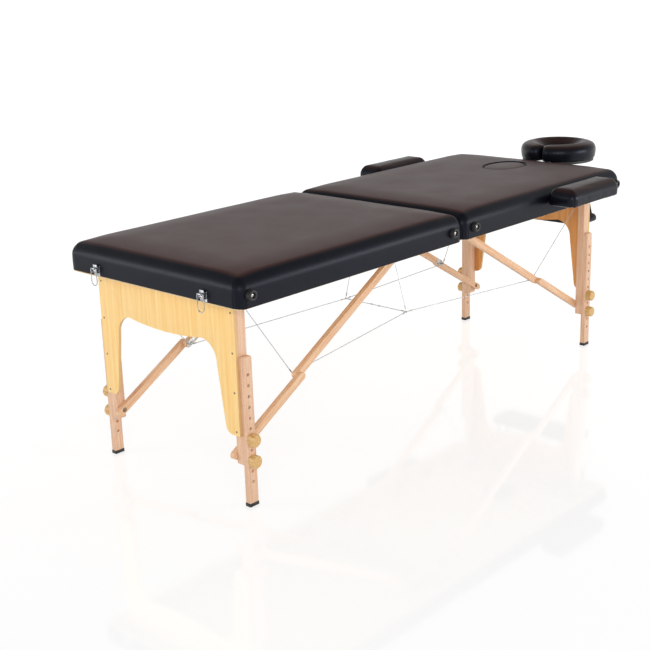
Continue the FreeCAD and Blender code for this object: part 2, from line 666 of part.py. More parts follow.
def make_braces(nodes):
    foot, knee, top = brace_places()
    half = BAR_WIDTH / 2
    for end, name in ((FOOT, "foot"), (HEAD, "head")):
        lanes = Lanes(end)
        y0, y1 = lanes.lower_bar
        lower = bar((foot.x, foot.z), (knee.x, knee.z), BAR_OVERHANG, 0, BAR_WIDTH, y0, y1)
        lower = lower.cut(headed_bore(foot.x, foot.z, BOLT_RADIUS, y0, y1))
        nodes[name + "_lower_braces"] = Part.makeCompound(both_sides(lower, end))
        y0, y1 = lanes.upper_bar
        upper = bar((top.x, top.z), (knee.x, knee.z), 0, 0, BAR_WIDTH, y0, y1)
        upper = upper.cut(headed_bore(top.x, top.z, BOLT_RADIUS, y1, y0))
        nodes[name + "_upper_braces"] = Part.makeCompound(both_sides(upper, end))
        along = (knee - top).normalize()
        back = knee - along * (KNEE_PLATE_LENGTH - half)
        plate_end = (knee.x, knee.z)
        reach = -KNEE_PLATE_WIDTH / 2
        plate_y = (y0 - KNEE_PLATE_THICK, y0)
        plate = bar((back.x, back.z), plate_end, reach, 0, KNEE_PLATE_WIDTH, *plate_y)
        nodes[name + "_knee_plates"] = Part.makeCompound(both_sides(plate, end))


def make_wires(nodes):
    knee = brace_places()[1]
    tip_gap = WIRE_GAP + WIRE_RADIUS
    for end, name in ((FOOT, "foot"), (HEAD, "head")):
        lanes = Lanes(end)
        eye_outer = lanes.upper_bar[0] - KNEE_PLATE_THICK - WIRE_GAP
        eye_inner = eye_outer - KNEE_EYE_LENGTH
        start = Vector(knee.x, eye_inner + WIRE_EYE_THICK / 2, knee.z)
        leg_face = LEG_X - LEG_WIDTH / 2 - tip_gap
        leg_end = Vector(leg_face, lanes.leg[0] + INNER_THICK / 2, UNDERSIDE_Z - WIRE_LEG_DROP)
        meet = Vector(WIRE_EYE_RADIUS + WIRE_GAP, WIRE_MEET_Y, WIRE_MEET_Z)
        meet_tip = meet
        if end == HEAD:
            meet_tip = meet + (start - meet).normalize() * (WIRE_EYE_RADIUS + WIRE_GAP)
        pieces = [
            rod_y(WIRE_EYE_RADIUS, knee.x, eye_inner, eye_outer, knee.z),
            rod_between(start, leg_end, WIRE_RADIUS),
            rod_between(start, meet_tip, WIRE_RADIUS),
        ]
        if end == FOOT:
            tether = Vector(MIDDLE_RAIL_INNER_X / 2, WIRE_TETHER_Y, UNDERSIDE_Z - tip_gap)
            cross = Vector(meet.x, 0, meet.z)
            eye_low = meet.y - WIRE_EYE_THICK / 2
            eye_high = meet.y + WIRE_EYE_THICK / 2
            pieces.append(rod_y(WIRE_EYE_RADIUS, meet.x, eye_low, eye_high, meet.z))
            pieces.append(rod_between(meet, tether, WIRE_RADIUS))
            pieces.append(rod_between(cross, meet, WIRE_RADIUS))
        left = pieces[0].fuse(pieces[1:])
        sides = both_sides(left, end)
        nodes[name + "_wires"] = sides[0].fuse(sides[1]) if end == FOOT else Part.makeCompound(sides)


def make_hinges(nodes):
    foot_pieces, head_pieces = [], []
    for side in (RIGHT, LEFT):
        middle = side * HINGE_Y
        low, high = middle - HINGE_LENGTH / 2, middle + HINGE_LENGTH / 2
        inner_low = middle - HINGE_MIDDLE_LENGTH / 2
        inner_high = middle + HINGE_MIDDLE_LENGTH / 2
        pin = rod_y(HINGE_PIN_RADIUS, 0, low, high, HINGE_Z)
        leaf = box(0, HINGE_LEAF_REACH, low, high, UNDERSIDE_Z, UNDERSIDE_Z + HINGE_LEAF_THICK)
        head_knuckle = rod_y(HINGE_KNUCKLE_RADIUS, 0, inner_low, inner_high, HINGE_Z)
        room = HINGE_KNUCKLE_RADIUS + HINGE_GAP
        ends = ((low, inner_low - HINGE_GAP), (inner_high + HINGE_GAP, high))
        head_clear = [rod_y(room, 0, y0, y1 + HINGE_GAP, HINGE_Z) for y0, y1 in ends[:1]]
        head_clear += [rod_y(room, 0, y0 - HINGE_GAP, y1, HINGE_Z) for y0, y1 in ends[1:]]
        bore = rod_y(HINGE_PIN_RADIUS + RUNNING_GAP, 0, low, high, HINGE_Z)
        head_pieces.append(leaf.cut(head_clear).fuse(head_knuckle).cut(bore))
        foot_clear = rod_y(room, 0, inner_low - HINGE_GAP, inner_high + HINGE_GAP, HINGE_Z)
        foot_knuckles = [rod_y(HINGE_KNUCKLE_RADIUS, 0, y0, y1, HINGE_Z) for y0, y1 in ends]
        foot_leaf = place(leaf, FOOT, LEFT).cut(foot_clear)
        foot_pieces.append(foot_leaf.fuse(foot_knuckles + [pin]))
    nodes["foot_hinges"] = Part.makeCompound(foot_pieces)
    nodes["head_hinges"] = Part.makeCompound(head_pieces)


def make_bumpers_and_handle(nodes):
    for end, name in ((FOOT, "foot"), (HEAD, "head")):
        pieces = []
        for x in BUMPER_XS:
            seat = Vector(x, HALF_WIDTH, UNDERSIDE_Z + BUMPER_RISE)
            cone = Part.makeCone(BUMPER_RADIUS, BUMPER_TIP_RADIUS, BUMPER_HEIGHT, seat, Vector(0, 1, 0))
            pieces.append(place(cone, end, RIGHT))
        nodes[name + "_bumpers"] = Part.makeCompound(pieces)
    z = UNDERSIDE_Z + HANDLE_RISE
    wall, tab = HALF_WIDTH, HALF_WIDTH + HANDLE_STRAP
    end_x, span = HANDLE_LENGTH / 2, HANDLE_SPAN / 2
    outer_x = span + HANDLE_STRAP

    def point(x, y):
        return Vector(HANDLE_X + x, y, z)

    crown = wall + HANDLE_REACH
    corners = [point(outer_x, tab), point(end_x, tab), point(end_x, wall), point(span, wall)]
    edges = [Part.LineSegment(a, b).toShape() for a, b in zip(corners, corners[1:])]
    edges.append(Part.Arc(point(span, wall), point(0, crown - HANDLE_STRAP), point(-span, wall)).toShape())
    corners = [point(-span, wall), point(-end_x, wall), point(-end_x, tab), point(-outer_x, tab)]
    edges += [Part.LineSegment(a, b).toShape() for a, b in zip(corners, corners[1:])]
    edges.append(Part.Arc(point(-outer_x, tab), point(0, crown), point(outer_x, tab)).toShape())
    strap = Part.Face(Part.Wire(edges)).extrude(Vector(0, 0, HANDLE_WIDTH))
    nodes["carry_handle"] = place(strap, FOOT, LEFT)


def latch_plate():
    z0 = UNDERSIDE_Z + LATCH_PLATE_RISE
    half = LATCH_PLATE_WIDTH / 2
    plate = box(HALF_LENGTH, LATCH_FACE_X, LATCH_Y - half, LATCH_Y + half, z0, z0 + LATCH_PLATE_HEIGHT)
    low, high = LATCH_PIVOT_Z - LATCH_EAR_HEIGHT / 2, LATCH_PIVOT_Z + LATCH_EAR_HEIGHT / 2
    inner = LEVER_WIDTH / 2 + LATCH_SIDE_GAP
    for side in (RIGHT, LEFT):
        y0, y1 = sorted((LATCH_Y + side * inner, LATCH_Y + side * (inner + LATCH_EAR_THICK)))
        plate = plate.fuse(box(HALF_LENGTH, LATCH_FACE_X + LATCH_EAR_REACH, y0, y1, low, high))
    bore = rod_y(LATCH_PIN_RADIUS + RUNNING_GAP, LATCH_PIVOT_X, LATCH_Y - half, LATCH_Y + half, LATCH_PIVOT_Z)
    return plate.removeSplitter().cut(bore)


def latch_lever():
    """Lever with its pivot pin, a barrel, an upright blade and the eye that the loop hangs in."""
    half = LEVER_WIDTH / 2
    y0, y1 = LATCH_Y - half, LATCH_Y + half
    pin_half = half + LATCH_SIDE_GAP + LATCH_EAR_THICK
    pin = rod_y(LATCH_PIN_RADIUS, LATCH_PIVOT_X, LATCH_Y - pin_half, LATCH_Y + pin_half, LATCH_PIVOT_Z)
    barrel = rod_y(LATCH_BARREL_RADIUS, LATCH_PIVOT_X, y0, y1, LATCH_PIVOT_Z)
    blade_x = LATCH_PIVOT_X - LEVER_THICK / 2
    blade = box(blade_x, blade_x + LEVER_THICK, y0, y1, LATCH_PIVOT_Z, LATCH_PIVOT_Z + LEVER_LENGTH)
    eye_half = half - LOOP_RADIUS
    eye_low, eye_high = LATCH_Y - eye_half, LATCH_Y + eye_half
    eye = rod_y(LOOP_EYE_RADIUS, LOOP_X, eye_low, eye_high, LOOP_Z)
    web_low, web_high = LOOP_Z - LOOP_EYE_RADIUS / 2, LOOP_Z + LOOP_EYE_RADIUS / 2
    web = box(LATCH_PIVOT_X, LOOP_X, eye_low, eye_high, web_low, web_high)
    bore = rod_y(LOOP_RADIUS + RUNNING_GAP, LOOP_X, y0, y1, LOOP_Z)
    return pin.fuse([barrel, blade, web, eye]).removeSplitter().cut(bore)


def latch_loop():
    """Wire loop: a cross wire in the lever's eye, two arms and a round bottom."""
    half = LOOP_WIDTH / 2
    turn_z = LOOP_Z - LOOP_DROP + half
    left, right = Vector(LOOP_X, LATCH_Y - half, LOOP_Z), Vector(LOOP_X, LATCH_Y + half, LOOP_Z)
    loop = rod_between(left, right, LOOP_RADIUS)
    pieces = [Part.makeSphere(LOOP_RADIUS, left), Part.makeSphere(LOOP_RADIUS, right)]
    for corner in (left, right):
        pieces.append(rod_between(Vector(corner.x, corner.y, turn_z), corner, LOOP_RADIUS))
    ring = Part.makeTorus(half, LOOP_RADIUS, Vector(LOOP_X, LATCH_Y, turn_z), Vector(1, 0, 0))
    reach = half + LOOP_RADIUS
    upper = box(LOOP_X - reach, LOOP_X + reach, LATCH_Y - reach, LATCH_Y + reach, turn_z, turn_z + reach)
    pieces.append(ring.cut(upper))
    return loop.fuse(pieces).removeSplitter()


def latch_hook():
    half = LATCH_PLATE_WIDTH / 2
    z0 = UNDERSIDE_Z + LATCH_PLATE_RISE
    plate = box(HALF_LENGTH, LATCH_FACE_X, LATCH_Y - half, LATCH_Y + half, z0, z0 + LATCH_PLATE_HEIGHT)
    y0, y1 = LATCH_Y - HOOK_WIDTH / 2, LATCH_Y + HOOK_WIDTH / 2
    low = UNDERSIDE_Z + HOOK_RISE
    tip = HALF_LENGTH + HOOK_REACH
    shelf = box(HALF_LENGTH, tip, y0, y1, low, low + HOOK_THICK)
    lip = box(tip - HOOK_THICK, tip, y0, y1, low, low + HOOK_THICK + HOOK_LIP)
    return plate.fuse([shelf, lip]).removeSplitter()


def make_latches(nodes):
    nodes["latch_plates"] = Part.makeCompound(both_sides(latch_plate(), FOOT))
    nodes["latch_hooks"] = Part.makeCompound(both_sides(latch_hook(), HEAD))
    for side, name in ((RIGHT, "right"), (LEFT, "left")):
        nodes["latch_lever_" + name] = place(latch_lever(), FOOT, side)
        nodes["latch_loop_" + name] = place(latch_loop(), FOOT, side)


def make_armrests(nodes):
    y0 = HALF_WIDTH + ARM_GAP
    y1 = y0 + ARM_WIDTH
    x1 = ARM_X + ARM_LENGTH
    pad_z = ARM_BOARD_Z + ARM_BOARD_THICK
    cushion = pad(
        ARM_X,
        x1,
        y0,
        y1,
        pad_z,
        ARM_PAD_THICK,
        ARM_PAD_CORNER,
        ARM_PAD_EDGE,
        ARM_PAD_CROWN,
        ARM_PAD_CROWN_INSET,
    )
    inset = ARM_BOARD_INSET
    frame = rounded_prism(
        ARM_X + inset, x1 - inset, y0, y1 - inset, ARM_PAD_CORNER - inset, ARM_BOARD_Z, pad_z
    )
    for x in ARM_DOWEL_XS:
        dowel = rod_y(ARM_DOWEL_RADIUS, x, HALF_WIDTH - ARM_DOWEL_IN, y0 + ARM_DOWEL_OUT, ARM_DOWEL_Z)
        frame = frame.fuse(dowel)
    frame = frame.removeSplitter()
    for side, name in ((RIGHT, "right"), (LEFT, "left")):
        nodes["armrest_cushion_" + name] = place(cushion, HEAD, side)
        nodes["armrest_board_" + name] = place(frame, HEAD, side)


def cradle_cushion():
    """Horseshoe of a rounded, crowned section, with round ends."""
    half, thick = CRADLE_PAD_WIDTH / 2, CRADLE_PAD_THICK
    z0 = CRADLE_BOARD_Z + CRADLE_BOARD_THICK
    shoulder = thick - CRADLE_PAD_CROWN
    waist = half - PAD_BULGE * 2
    centre = Vector(CRADLE_X, 0, 0)
    up = Vector(0, 0, 1)

    def half_section(offset):
        low = Vector(CRADLE_X + offset, 0, z0)
        seam = Vector(CRADLE_X + offset + waist, 0, z0)
        side = Vector(CRADLE_X + offset + half, 0, z0 + thick * CRADLE_WIDEST_UP)
        edge = Vector(CRADLE_X + offset + half * CRADLE_SHOULDER_ACROSS, 0, z0 + shoulder)
        top = Vector(CRADLE_X + offset, 0, z0 + thick)
        swell_x = CRADLE_X + offset + half * CRADLE_SWELL_ACROSS
        swell = Vector(swell_x, 0, z0 + thick * CRADLE_SWELL_UP)
        edges = [
            Part.LineSegment(low, seam).toShape(),
            Part.LineSegment(seam, side).toShape(),
            Part.Arc(side, swell, edge).toShape(),
            Part.LineSegment(edge, top).toShape(),
            Part.LineSegment(top, low).toShape(),
        ]
        return Part.Face(Part.Wire(edges))

    outer = half_section(CRADLE_RING_RADIUS)
    middle = Vector(CRADLE_X + CRADLE_RING_RADIUS, 0, z0)
    inner = outer.mirror(middle, Vector(1, 0, 0))
    turn = 360 - CRADLE_OPEN_DEGREES
    pieces = []
    for section in (outer, inner):
        solid = section.revolve(centre, up, turn)
        solid.rotate(centre, up, -turn / 2)
        pieces.append(solid)
    for way in (1, -1):
        cap = outer.revolve(middle, up, way * 180)
        cap.rotate(centre, up, way * turn / 2)
        pieces.append(cap)
    return pieces[0].fuse(pieces[1:]).removeSplitter()


def cradle_board():
    z0, z1 = CRADLE_BOARD_Z, CRADLE_BOARD_Z + CRADLE_BOARD_THICK
    half = CRADLE_PAD_WIDTH / 2 - CRADLE_BOARD_INSET
    base = Vector(CRADLE_X, 0, z0)
    board = Part.makeCylinder(CRADLE_RING_RADIUS + half, CRADLE_BOARD_THICK, base)
    board = board.cut(Part.makeCylinder(CRADLE_RING_RADIUS - half, CRADLE_BOARD_THICK, base))
    mouth = CRADLE_LUG_Y
    board = board.cut(box(CRADLE_X - CRADLE_RING_RADIUS - half, CRADLE_X, -mouth, mouth, z0, z1))
    lug_radius = CRADLE_TUBE_RADIUS + CRADLE_LUG_WALL
    y0, y1 = CRADLE_LUG_Y, CRADLE_LUG_Y + CRADLE_LUG_WIDTH
    for side in (RIGHT, LEFT):
        low, high = sorted((side * y0, side * y1))
        arm_end = CRADLE_X - math.sqrt(CRADLE_RING_RADIUS**2 - y1**2)
        arm = box(CRADLE_TUBE_X, arm_end, low, high, z0, z1)
        lug = rod_y(lug_radius, CRADLE_TUBE_X, low, high, CRADLE_TUBE_Z)
        board = board.fuse([arm, lug])
    bore = rod_y(CRADLE_TUBE_RADIUS + RUNNING_GAP, CRADLE_TUBE_X, -y1, y1, CRADLE_TUBE_Z)
    return board.removeSplitter().cut(bore)


def cradle_rods():
    """Two rods that plug into the head rail, a cross tube in clamps, and hangers with pins."""
    x0, x1 = HALF_LENGTH - CRADLE_ROD_IN, HALF_LENGTH + CRADLE_ROD_OUT
    frame = rod_y(CRADLE_TUBE_RADIUS, CRADLE_TUBE_X, -CRADLE_ROD_Y, CRADLE_ROD_Y, CRADLE_TUBE_Z)
    low = CRADLE_ROD_Z - CRADLE_ROD_RADIUS - CRADLE_CLAMP_WALL
    high = CRADLE_TUBE_Z + CRADLE_TUBE_RADIUS + CRADLE_CLAMP_WALL
    half_length, half_width = CRADLE_CLAMP_LENGTH / 2, CRADLE_CLAMP_WIDTH / 2
    for side in (RIGHT, LEFT):
        y = side * CRADLE_ROD_Y
        rod = rod_x(CRADLE_ROD_RADIUS, x0, x1, y, CRADLE_ROD_Z)
        near, far = CRADLE_TUBE_X - half_length, CRADLE_TUBE_X + half_length
        clamp = box(near, far, y - half_width, y + half_width, low, high)
        y0, y1 = y - HANGER_THICK / 2, y + HANGER_THICK / 2
        hang_low = HANGER_PIN_Z - HANGER_WIDTH / 2
        half = HANGER_WIDTH / 2
        hanger = box(SHELF_X - half, SHELF_X + half, y0, y1, hang_low, CRADLE_ROD_Z)
        pin_end = y + side * (HANGER_THICK / 2 + STRAP_WIDTH + 2 * SOCKET_GAP)
        pin = rod_y(HANGER_PIN_RADIUS, SHELF_X, min(y, pin_end), max(y, pin_end), HANGER_PIN_Z)
        frame = frame.fuse([rod, clamp, hanger, pin])
    return frame.removeSplitter()


def arm_shelf():
    """Padded shelf on two strap slings that swing on the hanger pins."""
    half_x, half_y = SHELF_LENGTH / 2, SHELF_WIDTH / 2
    z0 = SHELF_TOP_Z - SHELF_THICK
    shelf = pad(
        SHELF_X - half_x,
        SHELF_X + half_x,
        -half_y,
        half_y,
        z0,
        SHELF_THICK,
        SHELF_CORNER,
        SHELF_EDGE,
        SHELF_CROWN,
        SHELF_CROWN_INSET,
    )
    inner = HANGER_THICK / 2 + SOCKET_GAP
    foot_z = SHELF_TOP_Z - SHELF_CROWN - STRAP_THICK
    half = STRAP_THICK / 2
    for side in (RIGHT, LEFT):
        near, far = CRADLE_ROD_Y + inner, CRADLE_ROD_Y + inner + STRAP_WIDTH
        y0, y1 = sorted((side * near, side * far))
        ring = rod_y(STRAP_RING_RADIUS, SHELF_X, y0, y1, HANGER_PIN_Z)
        ring_low = HANGER_PIN_Z - HANGER_PIN_RADIUS - STRAP_THICK / 2
        slings = [ring]
        for way in (-1, 1):
            foot_x = SHELF_X + way * STRAP_SPREAD
            outline = [(SHELF_X - half, ring_low), (SHELF_X + half, ring_low)]
            outline += [(foot_x + half, foot_z), (foot_x - half, foot_z)]
            slings.append(flat_in_xz(outline, y0, y1))
        shelf = shelf.fuse(slings)
        bore = rod_y(HANGER_PIN_RADIUS + SOCKET_GAP, SHELF_X, y0, y1, HANGER_PIN_Z)
        shelf = shelf.cut(bore)
    return shelf


def make_cradle(nodes):
    nodes["cradle_cushion"] = cradle_cushion()
    nodes["cradle_board"] = cradle_board()
    nodes["cradle_rods"] = cradle_rods()
    nodes["arm_shelf"] = arm_shelf()


def make_all():
    nodes = {}
    make_cushions(nodes)
    make_frames(nodes)
    make_hinges(nodes)
    make_legs(nodes)
    make_braces(nodes)
    make_wires(nodes)
    make_bumpers_and_handle(nodes)
    make_latches(nodes)
    make_armrests(nodes)
    make_cradle(nodes)
    return nodes


os.makedirs("parts", exist_ok=True)
for node, shape in make_all().items():
    shape.translate(Vector(-OUTLINE_MIDDLE_X, 0, 0))
    if not shape.isValid():
        print("not valid:", node)
    shape.exportStep("parts/" + node + ".step")
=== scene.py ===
import json
import math

import bmesh
import bpy
from mathutils import Matrix, Vector, noise


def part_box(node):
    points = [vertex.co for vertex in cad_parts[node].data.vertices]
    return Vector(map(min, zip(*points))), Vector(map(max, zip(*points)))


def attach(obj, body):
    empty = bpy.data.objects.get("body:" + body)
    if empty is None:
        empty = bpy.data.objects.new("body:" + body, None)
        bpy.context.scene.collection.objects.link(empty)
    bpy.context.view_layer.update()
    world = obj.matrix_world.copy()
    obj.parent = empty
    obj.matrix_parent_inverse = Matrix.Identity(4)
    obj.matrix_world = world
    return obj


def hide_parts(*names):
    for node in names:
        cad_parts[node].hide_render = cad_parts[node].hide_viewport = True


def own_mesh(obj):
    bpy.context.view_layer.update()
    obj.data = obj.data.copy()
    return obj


# Looks of the folding massage table: vinyl covers over foam, beech legs, ply end panels, bright fittings.
# Metres, in the CAD frame: +x is the head end, -y the right side, z = 0 the floor.

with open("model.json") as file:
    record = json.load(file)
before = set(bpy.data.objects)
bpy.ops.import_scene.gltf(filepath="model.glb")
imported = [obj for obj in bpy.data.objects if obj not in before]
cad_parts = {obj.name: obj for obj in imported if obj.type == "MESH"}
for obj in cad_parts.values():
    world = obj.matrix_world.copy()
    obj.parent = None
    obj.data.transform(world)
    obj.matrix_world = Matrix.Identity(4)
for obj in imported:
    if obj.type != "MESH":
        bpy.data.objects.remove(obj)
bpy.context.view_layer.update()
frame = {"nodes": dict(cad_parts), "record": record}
NODES = frame["nodes"]
BODY_OF = {n: b for b, names in frame["record"]["behaviour"]["bodies"].items() for n in names}
MM = 0.001


# Colours and materials

def linear(hex_code):
    """sRGB hex code to a linear colour."""
    parts = [int(hex_code[i:i + 2], 16) / 255 for i in (1, 3, 5)]
    return [p / 12.92 if p <= 0.04045 else ((p + 0.055) / 1.055) ** 2.4 for p in parts] + [1.0]


def set_node(tree, node, settings, links):
    """Give a node its settings (attributes or input values) and its incoming links.
    A node given as a link's source stands for its first output."""
    for name, value in settings.items():
        if isinstance(name, int) or name in node.inputs:
            node.inputs[name].default_value = value
        else:
            setattr(node, name, value)
    for name, source in links.items():
        tree.links.new(getattr(source, "outputs", [source])[0], node.inputs[name])
    return node


def add(tree, kind, settings=None, links=None):
    return set_node(tree, tree.nodes.new(kind), settings or {}, links or {})


def object_noise(tree, size_mm, detail):
    """Noise in the piece's own coordinates, scaled by the given length."""
    place = add(tree, "ShaderNodeTexCoord").outputs["Object"]
    settings = {"Scale": 1 / (size_mm * MM), "Detail": detail}
    return add(tree, "ShaderNodeTexNoise", settings, {"Vector": place})


def ramp(tree, source, stops):
    made = add(tree, "ShaderNodeValToRGB", links={"Fac": source})
    points = made.color_ramp.elements
    while len(points) < len(stops):
        points.new(0.5)
    for point, (place, hex_code) in zip(points, stops):
        point.position = place
        point.color = linear(hex_code)
    return made.outputs["Color"]


def new_material(name):
    material = bpy.data.materials.new(name)
    material.use_nodes = True
    tree = material.node_tree
    tree.nodes.clear()
    shader = add(tree, "ShaderNodeBsdfPrincipled")
    add(tree, "ShaderNodeOutputMaterial", links={"Surface": shader})
    return material, tree, shader


# Wood figure: streaks and pores are drawn out along the fibres by these factors
STREAK_STRETCH, PORE_STRETCH = 26, 16
PORE_MM = 0.55


def wood(name, light, middle, dark, streak_mm, gloss):
    """Lacquered wood. The grain attribute holds each piece's own coordinates, with z along the fibres."""
    material, tree, shader = new_material(name)
    place = add(tree, "ShaderNodeAttribute", {"attribute_name": "grain"}).outputs["Vector"]
    across = 1 / (streak_mm * MM)
    long_way = add(tree, "ShaderNodeMapping", {"Scale": (across, across, across / STREAK_STRETCH)},
                   {"Vector": place})
    streaks = add(tree, "ShaderNodeTexNoise",
                  {"Scale": 1.0, "Detail": 3.0, "Roughness": 0.55, "Distortion": 0.6}, {"Vector": long_way})
    tone = ramp(tree, streaks, ((0.28, dark), (0.5, middle), (0.72, light)))
    fine = 1 / (PORE_MM * MM)
    pore_way = add(tree, "ShaderNodeMapping", {"Scale": (fine, fine, fine / PORE_STRETCH)},
                   {"Vector": place})
    pores = add(tree, "ShaderNodeTexNoise", {"Scale": 1.0, "Detail": 1.0}, {"Vector": pore_way})
    flecks = ramp(tree, pores, ((0.3, "#d8d8d8"), (0.5, "#ffffff")))
    mixed = add(tree, "ShaderNodeMix", {"data_type": "RGBA", "blend_type": "MULTIPLY", 0: 0.55},
                {6: tone, 7: flecks})
    bump = add(tree, "ShaderNodeBump", {"Strength": 0.12, "Distance": 0.2 * MM}, {"Height": pores})
    rough = add(tree, "ShaderNodeMapRange", {"To Min": gloss - 0.06, "To Max": gloss + 0.08},
                {"Value": streaks})
    set_node(tree, shader, {"Specular IOR Level": 0.4},
             {"Base Color": mixed.outputs[2], "Normal": bump, "Roughness": rough})
    return material


# Veneer streaks of the end panels, across and along, and one layer of their ply
VENEER_STREAK_MM, VENEER_LENGTH_MM = 7, 330
PLY_LAYER = 1.5 * MM


def end_ply(name, face, shaded_tones, edge_light, edge_dark, outward):
    """Lacquered ply: pale veneer on the side that faces out and layers on the edges; the side that faces in
    is painted darker and more orange as shade.
    """
    material, tree, shader = new_material(name)
    place = add(tree, "ShaderNodeAttribute", {"attribute_name": "grain"}).outputs["Vector"]
    across, along = 1 / (VENEER_STREAK_MM * MM), 1 / (VENEER_LENGTH_MM * MM)
    upright = add(tree, "ShaderNodeMapping", {"Scale": (across, across, along)}, {"Vector": place})
    streaks = add(tree, "ShaderNodeTexNoise",
                  {"Scale": 1.0, "Detail": 4.0, "Roughness": 0.6, "Distortion": 0.35}, {"Vector": upright})
    outer, inner = [ramp(tree, streaks, tuple(zip((0.3, 0.5, 0.7), tones))) for tones in (face, shaded_tones)]
    shape = add(tree, "ShaderNodeTexCoord")
    normal = add(tree, "ShaderNodeSeparateXYZ", links={0: shape.outputs["Normal"]})
    side = add(tree, "ShaderNodeMath", {"operation": "MULTIPLY", 1: outward}, {0: normal})
    is_out = add(tree, "ShaderNodeMath", {"operation": "GREATER_THAN", 1: 0.0}, {0: side})
    # Painted shade: faces that point inward take the darker orange-brown tones.
    faces = add(tree, "ShaderNodeMix", {"data_type": "RGBA"}, {0: is_out, 6: inner, 7: outer})
    spot = add(tree, "ShaderNodeSeparateXYZ", links={0: shape.outputs["Object"]})
    layer = add(tree, "ShaderNodeMath", {"operation": "PINGPONG", 1: PLY_LAYER}, {0: spot})
    share = add(tree, "ShaderNodeMath", {"operation": "DIVIDE", 1: PLY_LAYER}, {0: layer})
    plies = ramp(tree, share, ((0.42, edge_dark), (0.58, edge_light)))
    flat = add(tree, "ShaderNodeMath", {"operation": "ABSOLUTE"}, {0: normal})
    on_face = add(tree, "ShaderNodeMapRange", {"From Min": 0.45, "From Max": 0.8}, {"Value": flat})
    whole = add(tree, "ShaderNodeMix", {"data_type": "RGBA"}, {0: on_face, 6: plies, 7: faces.outputs[2]})
    bump = add(tree, "ShaderNodeBump", {"Strength": 0.1, "Distance": 0.2 * MM}, {"Height": streaks})
    set_node(tree, shader, {"Roughness": 0.34, "Specular IOR Level": 0.4},
             {"Base Color": whole.outputs[2], "Normal": bump})
    return material


# Cells of the vinyl's leather grain, and the clouds in its tone
LEATHER_CELL_MM, CLOUD_MM = 1.6, 90


def vinyl(name, side, top, roughness, shine, lit_top_from):
    """Soft black upholstery vinyl with a fine leather grain. Faces that point up get a lighter, warmer colour
    and a warm reflection tint, the sides a darker, bluer colour and a cool tint: painted light from above and
    painted shade on the sides.
    """
    material, tree, shader = new_material(name)
    shape = add(tree, "ShaderNodeTexCoord")
    cells = add(tree, "ShaderNodeTexVoronoi",
                {"feature": "DISTANCE_TO_EDGE", "Scale": 1 / (LEATHER_CELL_MM * MM)},
                {"Vector": shape.outputs["Object"]})
    creases = add(tree, "ShaderNodeMapRange", {"From Max": 0.22}, {"Value": cells.outputs["Distance"]})
    cloud = object_noise(tree, CLOUD_MM, 3.0)
    # Painted light: faces that point up take the lighter warm top tones, and sideways faces take the darker
    # bluish tones as painted shade.
    facing = add(tree, "ShaderNodeSeparateXYZ", links={0: shape.outputs["Normal"]})
    upward = add(tree, "ShaderNodeMapRange",
                 {"From Min": lit_top_from, "From Max": 0.995, "interpolation_type": "SMOOTHSTEP"},
                 {"Value": facing.outputs[2]})
    cool, warm = [ramp(tree, cloud, ((0.3, tones[0]), (0.7, tones[1]))) for tones in (side, top)]
    mixed = add(tree, "ShaderNodeMix", {"data_type": "RGBA"}, {0: upward, 6: cool, 7: warm})
    # Painted reflection colour: a warm tint on upward faces and a cool bluish tint on the sides.
    painted_reflection_tint = add(tree, "ShaderNodeMix", {"data_type": "RGBA", 6: linear("#dbe4ff"), 7: linear("#ffe0da")},
                {0: upward})
    worn = add(tree, "ShaderNodeMapRange", {"To Min": roughness - 0.05, "To Max": roughness + 0.05},
               {"Value": cloud})
    bump = add(tree, "ShaderNodeBump", {"Strength": 0.1, "Distance": 0.12 * MM}, {"Height": creases})
    set_node(tree, shader, {"Specular IOR Level": shine},
             {"Base Color": mixed.outputs[2], "Roughness": worn, "Specular Tint": painted_reflection_tint.outputs[2],
              "Normal": bump})
    return material


def metal(name, light, dark, roughness, mark_mm):
    """Plated steel with faint handling marks."""
    material, tree, shader = new_material(name)
    marks = object_noise(tree, mark_mm, 4.0)
    worn = add(tree, "ShaderNodeMapRange", {"To Min": roughness - 0.06, "To Max": roughness + 0.08},
               {"Value": marks})
    set_node(tree, shader, {"Metallic": 1.0},
             {"Base Color": ramp(tree, marks, ((0.35, dark), (0.6, light))), "Roughness": worn})
    return material


def moulded(name, deep, lit, roughness, grain_mm):
    """Rubber or other dull moulded stuff with a fine speckle."""
    material, tree, shader = new_material(name)
    speckle = object_noise(tree, grain_mm, 2.0)
    bump = add(tree, "ShaderNodeBump", {"Strength": 0.15, "Distance": 0.1 * MM}, {"Height": speckle})
    set_node(tree, shader, {"Roughness": roughness},
             {"Base Color": ramp(tree, speckle, ((0.35, deep), (0.65, lit))), "Normal": bump})
    return material


WAVE_TURN = 6.283


def woven(name, deep, lit, thread_mm):
    """Webbing: threads over and under."""
    material, tree, shader = new_material(name)
    place = add(tree, "ShaderNodeTexCoord").outputs["Object"]
    scale = 1 / (thread_mm * MM) / WAVE_TURN
    threads = [add(tree, "ShaderNodeTexWave", {"Scale": scale, "bands_direction": way, "Distortion": 0.4},
                   {"Vector": place}) for way in ("X", "Z")]
    weave = add(tree, "ShaderNodeMath", {"operation": "MULTIPLY"},
                {0: threads[0].outputs[1], 1: threads[1].outputs[1]})
    bump = add(tree, "ShaderNodeBump", {"Strength": 0.4, "Distance": 0.3 * MM}, {"Height": weave})
    # Painted shade: the colour darkens where the weave lies low, between the threads.
    set_node(tree, shader, {"Roughness": 0.8},
             {"Base Color": ramp(tree, weave, ((0.1, deep), (0.7, lit))), "Normal": bump})
    return material


# Black vinyl of both halves: silky, with a broad soft gloss; its warm brown top is painted light and its
# blue-black sides are painted shade
COVER_VINYL = vinyl("black_cover_vinyl", ("#0b0c12", "#111218"), ("#3e201c", "#442621"), 0.38, 0.165, 0.8)
